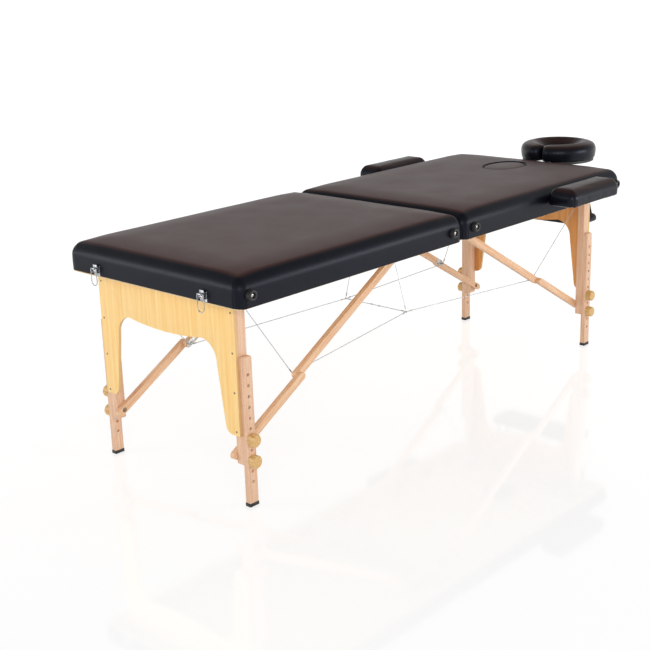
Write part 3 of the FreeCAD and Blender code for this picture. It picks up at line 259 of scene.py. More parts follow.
# The cradle, armrests and shelf are a little shinier, with the same painted light on top and painted shade on
# the sides
PAD_VINYL = vinyl("black_pad_vinyl", ("#090a0f", "#0f1015"), ("#2a1714", "#311d19"), 0.32, 0.21, 0.4)
# Pinkish beech of the legs: pale, satin, with fine streaks
LEG_BEECH = wood("pink_beech", "#efcdb1", "#e7be9e", "#d9a887", 5.0, 0.42)
# Beech of the brace bars: a touch yellower than the legs
BRACE_BEECH = wood("brace_beech", "#f4d0ac", "#ebbe98", "#dda87c", 5.0, 0.4)
# Pale softwood of the hidden frame: duller and broader in the grain
FRAME_PINE = wood("frame_pine", "#f1dcb4", "#e6cb9c", "#d6b582", 9.0, 0.55)
# Golden wood of the knobs: yellower and shinier than the legs
KNOB_WOOD = wood("golden_knob_wood", "#e6c48a", "#dcb274", "#c99a58", 4.0, 0.35)
# Ply of the end panels: bright yellow outside, striped edges, and painted shade of orange brown on the side
# that faces in
FACE_VENEER = ("#f5c472", "#f9d088", "#fbdc9c")
INWARD_SHADE_TONES = ("#d08a45", "#df9c58", "#e8ae6c")
FOOT_PLY = end_ply("foot_panel_ply", FACE_VENEER, INWARD_SHADE_TONES, "#f0cd96", "#c99a5c", -1.0)
HEAD_PLY = end_ply("head_panel_ply", FACE_VENEER, INWARD_SHADE_TONES, "#f0cd96", "#c99a5c", 1.0)
# Zinc of bolts, plates and hinges: satin pale grey
ZINC = metal("zinc_steel", "#c9c7c2", "#a9a8a5", 0.34, 6.0)
# Browned screws and bolts of the legs: dark dots on the pale wood
BROWNED_STEEL = metal("browned_steel", "#8a7a66", "#5f5244", 0.38, 4.0)
# Latches of nickelled steel, the shiniest metal: mid grey with sharp glints
LATCH_NICKEL = metal("latch_nickel", "#b9babd", "#8e9096", 0.2, 9.0)
# Steel rope of the stays: pale and matt
ROPE_STEEL = metal("rope_steel", "#c4c6c8", "#a4a7aa", 0.42, 1.2)
# Rubber of caps and bumper feet: dull black with a soft highlight
BLACK_RUBBER = moulded("black_rubber", "#0d0d0e", "#171718", 0.5, 0.8)
# Black paint on the boards under the armrests and the cradle: dull, hardly seen beside the vinyl
BLACK_BOARD = moulded("black_painted_board", "#121112", "#1a191a", 0.5, 3.0)
# Webbing of the handle and the slings: black with visible threads
BLACK_WEBBING = woven("black_webbing", "#0c0c0d", "#2a2a2d", 1.3)
# Thread of the handle's seams: dark grey, just lighter than the webbing
SEAM_THREAD = moulded("seam_thread", "#2c2c30", "#46464b", 0.75, 0.4)


# Mesh tools

def placed(name, data):
    """A new object in the scene."""
    made = bpy.data.objects.new(name, data)
    bpy.context.scene.collection.objects.link(made)
    return made


def evaluated(piece):
    """A new mesh of the piece with its modifiers applied."""
    return bpy.data.meshes.new_from_object(piece.evaluated_get(bpy.context.evaluated_depsgraph_get()))


def skin(edit, rings, capped=False):
    """Faces between neighbouring rings of vertices, where a ring of one vertex is a tip, and flat ends."""
    for low, high in zip(rings, rings[1:]):
        count = max(len(low), len(high))
        for k in range(count):
            n = (k + 1) % count
            corners = [low[k % len(low)], low[n % len(low)], high[n % len(high)], high[k % len(high)]]
            edit.faces.new(list(dict.fromkeys(corners)))
    if capped:
        edit.faces.new(list(reversed(rings[0])))
        edit.faces.new(rings[-1])


def finished(name, mesh_edit, material, body, sharp=32.0):
    """A bmesh as a finished piece: outward normals, smooth apart from sharp edges, riding on its body."""
    bmesh.ops.remove_doubles(mesh_edit, verts=mesh_edit.verts, dist=1e-6)
    bmesh.ops.recalc_face_normals(mesh_edit, faces=mesh_edit.faces)
    mesh = bpy.data.meshes.new(name)
    mesh_edit.to_mesh(mesh)
    mesh_edit.free()
    mesh.materials.append(material)
    mesh.shade_smooth()
    mesh.set_sharp_from_angle(angle=math.radians(sharp))
    piece = placed(name, mesh)
    if body:
        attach(piece, body)
    return piece


def set_grain(piece, along):
    """Store each vertex's place along and across the fibres, shifted by piece so that no two match."""
    along = Vector(along).normalized()
    first = along.orthogonal().normalized()
    second = along.cross(first)
    shift = 0.137 * (sum(map(ord, piece.name)) % 29)
    values = []
    for vertex in piece.data.vertices:
        spot = vertex.co
        values += [spot.dot(first) + shift, spot.dot(second) + shift * 0.7, spot.dot(along) + shift * 1.9]
    layer = piece.data.attributes.new("grain", "FLOAT_VECTOR", "POINT")
    layer.data.foreach_set("vector", values)


def softened(node, width_mm, material, along=None):
    """The CAD node's own form with its triangles joined and its sharp edges eased."""
    edit = bmesh.new()
    edit.from_mesh(NODES[node].data)
    bmesh.ops.remove_doubles(edit, verts=edit.verts, dist=1e-5)
    bmesh.ops.dissolve_limit(edit, angle_limit=math.radians(0.8), verts=edit.verts, edges=edit.edges)
    sharp = [e for e in edit.edges if len(e.link_faces) == 2 and e.calc_face_angle() > math.radians(38)]
    bmesh.ops.bevel(edit, geom=sharp, offset=width_mm * MM, segments=2, affect="EDGES", clamp_overlap=True,
                    profile=0.5)
    bmesh.ops.triangulate(edit, faces=[f for f in edit.faces if len(f.verts) > 4])
    piece = finished("eased_" + node, edit, material, BODY_OF[node])
    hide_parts(node)
    if along:
        set_grain(piece, along)
    return piece


def lines_between(anchors, step):
    """Sorted places that hold every anchor, with gaps of about one step."""
    anchors = sorted(set(round(a, 6) for a in anchors))
    places = [anchors[0]]
    for low, high in zip(anchors, anchors[1:]):
        count = max(1, round((high - low) / step))
        places += [low + (high - low) * k / count for k in range(1, count + 1)]
    return places


def smooth(share):
    share = min(max(share, 0.0), 1.0)
    return share * share * (3 - 2 * share)


# Steps of the rolled edge, and grid lines on each side of the middle of a hole
ROLL_STEPS, HOLE_LINES = 15, 6
# Hole: how near a grid line counts as on its rim, and how far out the grid eases back to square
HOLE_TOUCH, HOLE_BLEND = 0.999, 0.9
# Corners sink over this distance
SINK_REACH = 130 * MM
# Pleats: how many at a corner, where on the roll they start and how fast, and where they ease off again
PLEATS, PLEAT_START, PLEAT_EASE, PLEAT_EASED = 4, (0.35, 0.45), (0.82, 0.18), 0.85
# Unevenness of the foam, as waves per metre
BROAD_WAVE, FINE_WAVE = 9.0, 23.0
# The hem of the long sides drops below this height, over this distance
DROP_FROM, DROP_OVER = 0.6, 0.03


class Slab:
    """A foam slab in its cover, drawn as a grid whose border is rounded in plan and in section."""

    def __init__(self, x, y, z_top, rounding, corner, crown, crown_reach, step, hole=None, sink=0.0,
                 fall=None):
        self.middle = Vector(((x[0] + x[1]) / 2, (y[0] + y[1]) / 2, 0))
        self.half = ((x[1] - x[0]) / 2, (y[1] - y[0]) / 2)
        self.z_top, self.rounding, self.corner = z_top, rounding, corner
        self.crown, self.crown_reach, self.hole, self.sink = crown, crown_reach, hole, sink
        self.fall = fall or 0.94 * rounding
        turns = [rounding * (1 - math.cos(math.radians(90 * k / ROLL_STEPS))) for k in range(ROLL_STEPS + 1)]
        self.lines = []
        for axis in (0, 1):
            half = self.half[axis]
            anchors = [half - t for t in turns] + [t - half for t in turns]
            if hole:
                spot, reach = hole["middle"][axis] - self.middle[axis], hole["half"][axis]
                anchors += [spot + reach * k / HOLE_LINES for k in range(-HOLE_LINES, HOLE_LINES + 1)]
            self.lines.append(lines_between(anchors, step))
        self.edit = bmesh.new()

    def in_plan(self, u, v):
        """Grid place to plan place: square corners become round ones, and a square gap the oval hole."""
        out = [u, v]
        over = [(abs(out[a]) - (self.half[a] - self.corner)) / self.corner for a in (0, 1)]
        if over[0] > 0 and over[1] > 0:
            for a in (0, 1):
                reach = over[a] * math.sqrt(1 - over[1 - a] ** 2 / 2)
                out[a] = math.copysign(self.half[a] - self.corner + reach * self.corner, out[a])
        if self.hole:
            spot = [out[a] - self.hole["middle"][a] + self.middle[a] for a in (0, 1)]
            share = [spot[a] / self.hole["half"][a] for a in (0, 1)]
            ring, length = max(map(abs, share)), math.hypot(*share)
            if HOLE_TOUCH < ring < 1 + HOLE_BLEND:
                keep = smooth((ring - 1) / HOLE_BLEND)
                for a in (0, 1):
                    oval = spot[a] / length * ring
                    out[a] += (oval - spot[a]) * (1 - keep)
        return out

    def depth(self, u, v):
        """How far inside the outline a plan place is."""
        over = [abs((u, v)[a]) - (self.half[a] - self.corner) for a in (0, 1)]
        if over[0] > 0 and over[1] > 0:
            return self.corner - math.hypot(*over)
        return -max(over[a] - self.corner for a in (0, 1))

    def height(self, u, v):
        inside = self.depth(u, v)
        lean = min(max(0.0, 1 - inside / self.rounding), 1.0)
        drop = 1 - math.sqrt(1 - lean * lean)
        rise = self.crown * (1 - (1 - min(inside / self.crown_reach, 1.0)) ** 2)
        away = math.hypot(self.half[0] - abs(u), self.half[1] - abs(v))
        sunk = self.sink * (1 - smooth(away / SINK_REACH)) * (1 - lean * lean)
        return self.z_top - self.crown + rise - sunk - self.fall * drop

    def build(self, wall, floor_z, floor_inset, sag_mm, pleat_mm, side_drop_mm=0.0, hole_wall=()):
        """wall is the side's rings from the top down: outset, height and how deep the corner pleats are."""
        us, vs = self.lines
        edit = self.edit
        top, low = {}, {}
        for i, u in enumerate(us):
            for j, v in enumerate(vs):
                if self.hole and self.inside_hole(u, v):
                    continue
                a, b = self.in_plan(u, v)
                place = self.middle + Vector((a, b, self.height(a, b)))
                out, turn = self.way_out(place)
                if turn is not None:
                    lean = 1 - self.depth(a, b) / self.rounding
                    rise = smooth((lean - PLEAT_START[0]) / PLEAT_START[1])
                    ease = PLEAT_EASED * smooth((lean - PLEAT_EASE[0]) / PLEAT_EASE[1])
                    place -= out * (pleat_mm * MM * self.gather(turn) * rise * (1 - ease))
                wave = noise.noise(place * BROAD_WAVE) + 0.5 * noise.noise(place * FINE_WAVE)
                place.z += wave * sag_mm * MM
                top[i, j] = edit.verts.new(place)
                shrink = [(self.half[k] - floor_inset) / self.half[k] for k in (0, 1)]
                low[i, j] = edit.verts.new(self.middle + Vector((a * shrink[0], b * shrink[1], floor_z)))
        for i in range(len(us) - 1):
            for j in range(len(vs) - 1):
                keys = ((i, j), (i + 1, j), (i + 1, j + 1), (i, j + 1))
                centre = ((us[i] + us[i + 1]) / 2, (vs[j] + vs[j + 1]) / 2)
                if self.hole and self.inside_hole(*centre):
                    continue
                edit.faces.new([top[k] for k in keys])
                edit.faces.new([low[k] for k in reversed(keys)])
        ends = (len(us) - 1, len(vs) - 1)
        border = [(i, 0) for i in range(ends[0])] + [(ends[0], j) for j in range(ends[1])]
        border += [(i, ends[1]) for i in range(ends[0], 0, -1)] + [(0, j) for j in range(ends[1], 0, -1)]
        self.strip(border, top, low, wall, side_drop_mm)
        if self.hole:
            self.hole_strip(us, vs, top, low, hole_wall)
        return edit

    @staticmethod
    def gather(turn):
        """Pleats round one corner, 0 on a fold and 1 between two."""
        return 0.5 - 0.5 * math.cos(turn * 2 * math.pi * PLEATS)

    def hole_share(self, u, v):
        """Grid place from the hole's middle, where 1 is the edge of the square gap."""
        return [((u, v)[a] + self.middle[a] - self.hole["middle"][a]) / self.hole["half"][a] for a in (0, 1)]

    def inside_hole(self, u, v):
        return max(map(abs, self.hole_share(u, v))) < HOLE_TOUCH

    def way_out(self, spot):
        """Outward direction in plan, and how far round a corner the place is (0 to 1, or None on a side)."""
        over = [abs(spot[a] - self.middle[a]) - (self.half[a] - self.corner) for a in (0, 1)]
        sign = [math.copysign(1, spot[a] - self.middle[a]) for a in (0, 1)]
        if over[0] > 1e-5 and over[1] > 1e-5:
            turn = math.atan2(over[1], over[0])
            return Vector((math.cos(turn) * sign[0], math.sin(turn) * sign[1], 0)), turn / (math.pi / 2)
        if over[0] * self.half[1] / self.half[0] > over[1] and over[0] > over[1]:
            return Vector((sign[0], 0, 0)), None
        return Vector((0, sign[1], 0)), None

    def strip(self, border, top, low, wall, side_drop_mm):
        """The side, ring by ring. On the long sides the hem lies lower by side_drop_mm."""
        rings = [[top[k] for k in border]]
        for outset, z, pleat in wall:
            ring = []
            for i, j in border:
                a, b = self.in_plan(self.lines[0][i], self.lines[1][j])
                place = self.middle + Vector((a, b, z))
                out, turn = self.way_out(place)
                push = outset * MM
                if turn is not None:
                    push -= pleat * MM * self.gather(turn)
                place.z -= side_drop_mm * MM * out.y ** 2 * smooth((DROP_FROM - z) / DROP_OVER)
                ring.append(self.edit.verts.new(place + out * push))
            rings.append(ring)
        rings.append([low[k] for k in border])
        for above, below in zip(rings, rings[1:]):
            for k in range(len(above)):
                n = (k + 1) % len(above)
                self.edit.faces.new((above[k], below[k], below[n], above[n]))

    def hole_strip(self, us, vs, top, low, wall):
        """The rolled rim and the wall of the oval hole. wall is rings of inset in mm and height in metres,
        or, where that is negative, depth below the top in mm."""
        centre = Vector((*self.hole["middle"], 0))
        reach = self.hole["half"]
        keys = []
        for i, u in enumerate(us):
            for j, v in enumerate(vs):
                share = self.hole_share(u, v)
                if abs(max(map(abs, share)) - 1) < 0.002:
                    keys.append((math.atan2(share[1], share[0]), (i, j)))
        keys = [k for _, k in sorted(keys)]
        rings = [[top[k] for k in keys]]
        for inset, z in wall:
            ring = []
            for k in keys:
                spot = top[k].co - centre
                oval = Vector((spot.x * (1 - inset * MM / reach[0]), spot.y * (1 - inset * MM / reach[1]), 0))
                drop = z if z > 0 else top[k].co.z + z * MM
                ring.append(self.edit.verts.new(Vector((centre.x + oval.x, centre.y + oval.y, drop))))
            rings.append(ring)
        rings.append([low[k] for k in keys])
        skin(self.edit, rings)


def lathe(edit, spot, axis, profile, sides=32):
    """Turned form: profile is (radius, height) pairs in mm along the axis."""
    axis = Vector(axis).normalized()
    first = axis.orthogonal().normalized()
    second = axis.cross(first)
    rings = []
    for radius, height in profile:
        base = Vector(spot) + axis * height * MM
        if radius < 1e-6:
            rings.append([edit.verts.new(base)])
            continue
        ring = []
        for k in range(sides):
            turn = 2 * math.pi * k / sides
            around = first * math.cos(turn) + second * math.sin(turn)
            ring.append(edit.verts.new(base + around * radius * MM))
        rings.append(ring)
    skin(edit, rings)


def sweep(edit, path, section, up):
    """A closed section (pairs in metres: across, up) carried along a path of points, with flat ends."""
    rings = []
    for k, spot in enumerate(path):
        ahead = (path[min(k + 1, len(path) - 1)] - path[max(k - 1, 0)]).normalized()
        across = ahead.cross(Vector(up)).normalized()
        rise = across.cross(ahead)
        rings.append([edit.verts.new(spot + across * a + rise * b) for a, b in section])
    skin(edit, rings, capped=True)


def round_section(radius_mm, sides=10):
    turns = [2 * math.pi * k / sides for k in range(sides)]
    return [(math.cos(t) * radius_mm * MM, math.sin(t) * radius_mm * MM) for t in turns]


def strap_section(width_mm, thick_mm):
    """Flat strap with eased edges."""
    w, t, e = width_mm / 2 * MM, thick_mm / 2 * MM, thick_mm / 4 * MM
    return [(-w + e, -t), (w - e, -t), (w, -t + e), (w, t - e),
            (w - e, t), (-w + e, t), (-w, t - e), (-w, -t + e)]


# The two upholstered halves

TOP_Z, DECK_TOP = 0.658, 0.623
# The cover's underside lies this far above the deck, and the hole has this much room round the plug
DECK_CLEAR, PLUG_ROOM = 0.5 * MM, 5.8 * MM
plug_low, plug_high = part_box("face_plug")
FACE_HOLE = {
    "middle": ((plug_low.x + plug_high.x) / 2, 0.0),
    "half": ((plug_high.x - plug_low.x) / 2 + PLUG_ROOM, (plug_high.y - plug_low.y) / 2 + PLUG_ROOM),
}
# Rings of the cover's side from the edge down to the hem and up inside it: outset mm, height, pleat depth mm
SKIRT_WALL = (
    (0.1, 0.606, 0.5), (0.3, 0.600, 0.9), (0.4, 0.594, 1.2), (0.35, 0.588, 1.2), (0.25, 0.582, 1.1),
    (0.15, 0.576, 1.0), (0.05, 0.571, 0.9), (-0.1, 0.5686, 0.8), (-0.5, 0.568, 0.5), (-1.2, 0.5685, 0.1),
    (-1.35, 0.571, 0.0), (-1.35, 0.600, 0.0), (-2.5, 0.612, 0.0),
)
# Rings of the face hole's rim and wall: inset mm, and mm below the top or a height
HOLE_WALL = ((0.4, -0.9), (1.6, -2.6), (3.4, -4.1), (5.0, -6.2), (5.0, -14.0), (5.0, 0.63))


def half_cover(end):
    low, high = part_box(end + "_skirt")
    hole = FACE_HOLE if end == "head" else None
    slab = Slab((low.x, high.x), (low.y, high.y), TOP_Z, rounding=36 * MM, corner=26 * MM, crown=11 * MM,
                crown_reach=130 * MM, step=17 * MM, hole=hole, sink=4 * MM, fall=37 * MM)
    edit = slab.build(SKIRT_WALL, DECK_TOP + DECK_CLEAR, floor_inset=3.5 * MM, sag_mm=0.35, pleat_mm=2.0,
                      side_drop_mm=2.2, hole_wall=HOLE_WALL)
    cover = finished(end + "_half_cover", edit, COVER_VINYL, None, 50.0)
    if end == "head":
        cut_sockets(cover)
    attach(cover, end + "_half")
    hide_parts(end + "_cushion", end + "_skirt")


# Sockets: where the dowels stand in from the board's ends, their radius, and the cutters' starts and lengths
DOWEL_INSET, DOWEL_RADIUS = 0.049, 0.0065
SOCKET_Y, DOWEL_HOLE_MM = 0.340, 7.2
ROD_SOCKET = Vector((0.778, 0.165, 0.588))
ROD_HOLE_MM, SOCKET_MM = 6.8, 20


def bore(radius_mm):
    return (0, 0), (radius_mm, 0), (radius_mm, SOCKET_MM), (0, SOCKET_MM)


def cut_sockets(cover):
    """Holes in the head cover for the armrest dowels and the cradle rods."""
    edit = bmesh.new()
    arm_low, arm_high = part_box("armrest_board_right")
    for x in (arm_low.x + DOWEL_INSET, arm_high.x - DOWEL_INSET):
        for side in (-1, 1):
            start = (x, side * SOCKET_Y, arm_low.z + DOWEL_RADIUS)
            lathe(edit, start, (0, side, 0), bore(DOWEL_HOLE_MM), 24)
    for side in (-1, 1):
        lathe(edit, ROD_SOCKET * Vector((1, side, 1)), (1, 0, 0), bore(ROD_HOLE_MM), 24)
    bmesh.ops.recalc_face_normals(edit, faces=edit.faces)
    mesh = bpy.data.meshes.new("socket_cutters")
    edit.to_mesh(mesh)
    edit.free()
    cutter = placed("socket_cutters", mesh)
    cut = cover.modifiers.new("sockets", "BOOLEAN")
    cut.object, cut.operation, cut.solver = cutter, "DIFFERENCE", "EXACT"
    bpy.context.view_layer.update()
    done = evaluated(cover)
    cover.modifiers.remove(cut)
    cover.data = done
    bpy.data.objects.remove(cutter)


for end in ("foot", "head"):
    half_cover(end)


# Plug, armrests, cradle and shelf

CLOTH_FRAMES = 20


def plump(piece, fabric_pull_mm, pressure):
    """Cloth run: the pad's skin swells a little and settles, moving at most the given distance."""
    start = [v.co.copy() for v in piece.data.vertices]
    cloth = piece.modifiers.new("cloth", "CLOTH")
    cloth.settings.quality = 4
    cloth.settings.mass = 0.25
    cloth.settings.tension_stiffness = 25
    cloth.settings.compression_stiffness = 25
    cloth.settings.bending_stiffness = 6
    cloth.settings.use_pressure = True
    cloth.settings.uniform_pressure_force = pressure
    cloth.settings.effector_weights.gravity = 0
    cloth.settings.shrink_min = -0.01
    cloth.point_cache.frame_start, cloth.point_cache.frame_end = 1, CLOTH_FRAMES
    scene = bpy.context.scene
    for step in range(1, CLOTH_FRAMES + 1):
        scene.frame_set(step)
    done = evaluated(piece)
    piece.modifiers.remove(cloth)
    for vertex, old in zip(done.vertices, start):
        move = vertex.co - old
        if move.length > fabric_pull_mm * MM:
            vertex.co = old + move * (fabric_pull_mm * MM / move.length)
    piece.data = done
    scene.frame_set(1)


def pad_piece(name, edit, body, nodes, pull_mm, pressure):
    pad = finished(name, edit, PAD_VINYL, None, 60.0)
    plump(pad, pull_mm, pressure)
    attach(pad, body)
    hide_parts(*nodes)


PLUG_SIDES = 72


def face_plug_pad():
    """Oval pad with a rolled rim, from rings of size and height."""
    edit = bmesh.new()
    middle = (plug_low + plug_high) / 2
    half = ((plug_high.x - plug_low.x) / 2, (plug_high.y - plug_low.y) / 2)
    rings = [(0.5, 0.6235), (0.94, 0.6235), (0.985, 0.626), (1.0, 0.632), (1.0, 0.645), (0.995, 0.6495),
             (0.98, 0.6525), (0.955, 0.6545), (0.92, 0.6556), (0.82, 0.6566), (0.62, 0.6574), (0.4, 0.658),
             (0.18, 0.6582)]
    oval = [(half[0] * math.cos(t), half[1] * math.sin(t))
            for t in (2 * math.pi * k / PLUG_SIDES for k in range(PLUG_SIDES))]
    loops = []
    for share, z in rings:
        loops.append([edit.verts.new((middle.x + a * share, b * share, z)) for a, b in oval])
    skin(edit, loops, capped=True)
    pad = finished("face_plug_pad", edit, COVER_VINYL, "plug", 60.0)
    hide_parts("face_plug")


# The armrest's cover is drawn down over the board's sides, to this height
ARM_COVER_LOW = 0.6
ARM_WALL = ((0.3, 0.622, 0.6), (0.5, 0.615, 0.8), (0.5, 0.608, 0.9), (0.2, 0.603, 0.9), (-0.6, 0.6007, 0.7),
            (-2.2, ARM_COVER_LOW, 0.3))
# Armrest pads start a little smaller than their CAD box, because the cloth swells
SWELL_ROOM, SWELL_ROOM_UP = 1 * MM, 0.8 * MM


def armrest_pad(side):
    low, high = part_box("armrest_cushion_" + side)
    slab = Slab((low.x + SWELL_ROOM, high.x - SWELL_ROOM), (low.y + SWELL_ROOM, high.y - SWELL_ROOM),
                high.z - SWELL_ROOM_UP, rounding=27 * MM, corner=22 * MM, crown=8 * MM, crown_reach=50 * MM,
                step=8 * MM)
    edit = slab.build(ARM_WALL, ARM_COVER_LOW, floor_inset=5 * MM, sag_mm=0.5, pleat_mm=0.9)
    pad_piece("armrest_pad_" + side, edit, "armrest_" + side, ["armrest_cushion_" + side],
              pull_mm=2.0, pressure=4.0)


# Cradle ring: middle, inner radius, width, underside and thickness
RING_MIDDLE = Vector((0.93825, 0, 0))
RING_INNER, RING_WIDTH, RING_LOW, RING_THICK = 0.052, 0.088, 0.639, 0.060
# How far its two ends are drawn together, and over how wide an angle
CREASE_PULL, CREASE_REACH = 0.97, math.radians(100)
# How deep its top is dished inwards, out to which share of the width, and from which height over which
DISH_DEPTH, DISH_OUT, DISH_FROM, DISH_OVER = 12 * MM, 0.55, 0.5, 0.4


def cradle_pad():
    """Horseshoe from the CAD ring, remeshed evenly and swollen as cloth."""
    edit = bmesh.new()
    edit.from_mesh(NODES["cradle_cushion"].data)
    pad = finished("cradle_pad", edit, PAD_VINYL, None, 180.0)
    remesh = pad.modifiers.new("even", "REMESH")
    remesh.mode, remesh.voxel_size = "VOXEL", 5 * MM
    ease = pad.modifiers.new("ease", "SMOOTH")
    ease.factor, ease.iterations = 0.5, 8
    bpy.context.view_layer.update()
    even = evaluated(pad)
    pad.modifiers.clear()
    pad.data = even
    plump(pad, 3.0, 4.0)
    for vertex in pad.data.vertices:
        spot = vertex.co - RING_MIDDLE
        reach = math.hypot(spot.x, spot.y)
        turn = math.atan2(spot.y, -spot.x)
        # the two ends meet in a crease on the table side
        pull = max(0.0, 1 - abs(turn) / CREASE_REACH)
        turn *= 1 - CREASE_PULL * pull * pull
        outward = (reach - RING_INNER) / RING_WIDTH
        height = (vertex.co.z - RING_LOW) / RING_THICK
        dish = DISH_DEPTH * smooth((DISH_OUT - outward) / DISH_OUT) * smooth((height - DISH_FROM) / DISH_OVER)
        vertex.co = (RING_MIDDLE.x - math.cos(turn) * reach, math.sin(turn) * reach, vertex.co.z - dish)
    pad.data.materials.clear()
    pad.data.materials.append(PAD_VINYL)
    pad.data.shade_smooth()
    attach(pad, "cradle_head")
    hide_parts("cradle_cushion")


# Arm shelf: half its size, its thickness, and the slings' place, pin height, width and thickness
SHELF_HALF, SHELF_THICK = (0.065, 0.195), 0.026
SLING_Y, SLING_PIN_Z, SLING_WIDTH_MM, SLING_THICK_MM = 0.1723, 0.568, 8.0, 3.0
SLING_RING = ((3.5, 0), (5.2, 0), (6.3, 1.2), (6.5, 4), (6.3, 6.8), (5.2, 8), (3.5, 8), (3.5, 0))


def shelf_pad():
    low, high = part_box("arm_shelf")
    x, base = (low.x + high.x) / 2, low.z
    top = base + SHELF_THICK
    slab = Slab((x - SHELF_HALF[0], x + SHELF_HALF[0]), (-SHELF_HALF[1], SHELF_HALF[1]), top,
                rounding=14 * MM, corner=28 * MM, crown=3 * MM, crown_reach=34 * MM, step=9 * MM)
    wall = ((0.6, base + 0.0085, 0.4), (0.7, base + 0.006, 0.5), (0.4, base + 0.0035, 0.6),
            (-0.6, base + 0.0012, 0.6), (-3.0, base, 0.3))
    edit = slab.build(wall, base, floor_inset=8 * MM, sag_mm=0.5, pleat_mm=0.6)
    pad_piece("arm_shelf_pad", edit, "shelf", ["arm_shelf"], pull_mm=2.0,
              pressure=4.0)
    edit = bmesh.new()
    for side in (-1, 1):
        y = side * SLING_Y
        lathe(edit, (x, y - SLING_WIDTH_MM / 2 * MM, SLING_PIN_Z), (0, 1, 0), SLING_RING, 24)
        for way in (-1, 1):
            path = [Vector((x + way * 0.002, y, SLING_PIN_Z - 0.0045)),
                    Vector((x + way * 0.004, y, SLING_PIN_Z - 0.012)),
                    Vector((x + way * 0.0445, y, top + 0.002)), Vector((x + way * 0.046, y, top - 0.005))]
            sweep(edit, path, strap_section(SLING_THICK_MM, SLING_WIDTH_MM), (0, 1, 0))
    slings = finished("shelf_slings", edit, BLACK_WEBBING, "shelf")
    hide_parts("arm_shelf")


face_plug_pad()
for side in ("right", "left"):
    armrest_pad(side)
cradle_pad()
shelf_pad()


# Wood, metal and rubber from the CAD forms

def bar_way(node):
    """Direction of a brace bar in its upright plane, from its two far ends."""
    places = [v.co for v in NODES[node].data.vertices]
    low = min(places, key=lambda p: p.z)
    high = max(places, key=lambda p: p.z)
    return (high.x - low.x, 0, high.z - low.z)


# The deck's board ends this far inside the rolled edge of the cover
DECK_DRAWN_IN = 4 * MM

for end in ("foot", "head"):
    softened(end + "_inner_legs", 1.6, LEG_BEECH, (0, 0, 1))
    for bars in (end + "_lower_braces", end + "_upper_braces"):
        softened(bars, 1.6, BRACE_BEECH, bar_way(bars))
    softened(end + "_end_panel", 1.0, FOOT_PLY if end == "foot" else HEAD_PLY, (0, 0, 1))
    softened(end + "_rails", 0.8, FRAME_PINE, (1, 0, 0))
    deck = softened(end + "_deck", 0.5, FRAME_PINE, (1, 0, 0))
    low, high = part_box(end + "_deck")
    for vertex in deck.data.vertices:
        for axis in (0, 1):
            middle, half = (low[axis] + high[axis]) / 2, (high[axis] - low[axis]) / 2
            vertex.co[axis] = middle + (vertex.co[axis] - middle) * (1 - DECK_DRAWN_IN / half)
    softened(end + "_leg_fasteners", 0.3, BROWNED_STEEL)
    for metal_part in ("_knee_plates", "_pivot_bolts", "_hinges"):
        softened(end + metal_part, 0.3, ZINC)
    for side in ("right", "left"):
        tail = "_" + end + "_" + side
        softened("leg_extension" + tail, 1.6, LEG_BEECH, (0, 0, 1))
        softened("rubber_cap" + tail, 0.8, BLACK_RUBBER)
        softened("lower_knob" + tail, 0.9, KNOB_WOOD, (0.2, 1, 0.1))
        softened("upper_knob" + tail, 0.9, KNOB_WOOD, (0.1, 1, 0.3))
for side in ("right", "left"):
    softened("latch_lever_" + side, 0.4, LATCH_NICKEL)
    softened("latch_loop_" + side, 0.2, LATCH_NICKEL)
    softened("armrest_board_" + side, 1.2, BLACK_BOARD)
softened("latch_plates", 0.3, LATCH_NICKEL)
softened("latch_hooks", 0.4, LATCH_NICKEL)
softened("cradle_board", 1.5, BLACK_BOARD)
softened("cradle_rods", 0.6, ZINC)


# Wires, handle and bumper feet

ROPE_RADIUS_MM, SLEEVE_START = 1.1, 10 * MM
SLEEVE = ((ROPE_RADIUS_MM, 0), (2.2, 0.5), (2.3, 2), (2.3, 9), (2.2, 10.5), (ROPE_RADIUS_MM, 11))


def rope(edit, start, finish):
    """A straight steel rope with a pressed sleeve near each end."""
    way = (finish - start).normalized()
    sweep(edit, [start, (start + finish) / 2, finish], round_section(ROPE_RADIUS_MM), way.orthogonal())
    for spot, ahead in ((start, way), (finish, -way)):
        lathe(edit, spot + ahead * SLEEVE_START, ahead, SLEEVE, 14)


def eye(edit, spot, tall):
    """Rope eye on a short pin across the table, tall mm long and centred on the spot."""
    lathe(edit, Vector(spot) - Vector((0, tall / 2 * MM, 0)), (0, 1, 0),
          ((1.4, 0), (2.4, 0), (3.0, 0.7), (3.0, tall - 0.7), (2.4, tall), (1.4, tall), (1.4, 0)), 20)


# Ends of the stays: distance from the middle hinge, height, and how far inside the knee plate or the leg.
# The last two ends are given as places on the left side.
HINGE_X = -0.13775
KNEE_OUT, KNEE_Z, KNEE_PLATE_IN = 0.6134, 0.2878, 0.0078
LEG_TOP_OUT, LEG_TOP_Z, LEG_FACE_IN = 0.8415, 0.553, 0.012
MEETING, TETHER = Vector((HINGE_X - 0.0033, 0.129, 0.306)), Vector((HINGE_X - 0.0103, 0.060, 0.5635))
HEAD_SHIFT = Vector((0.0066, 0, 0))
KNEE_EYE_MM, MEETING_EYE_MM, KNEE_EYE_OUT = 8.0, 4.0, 0.002


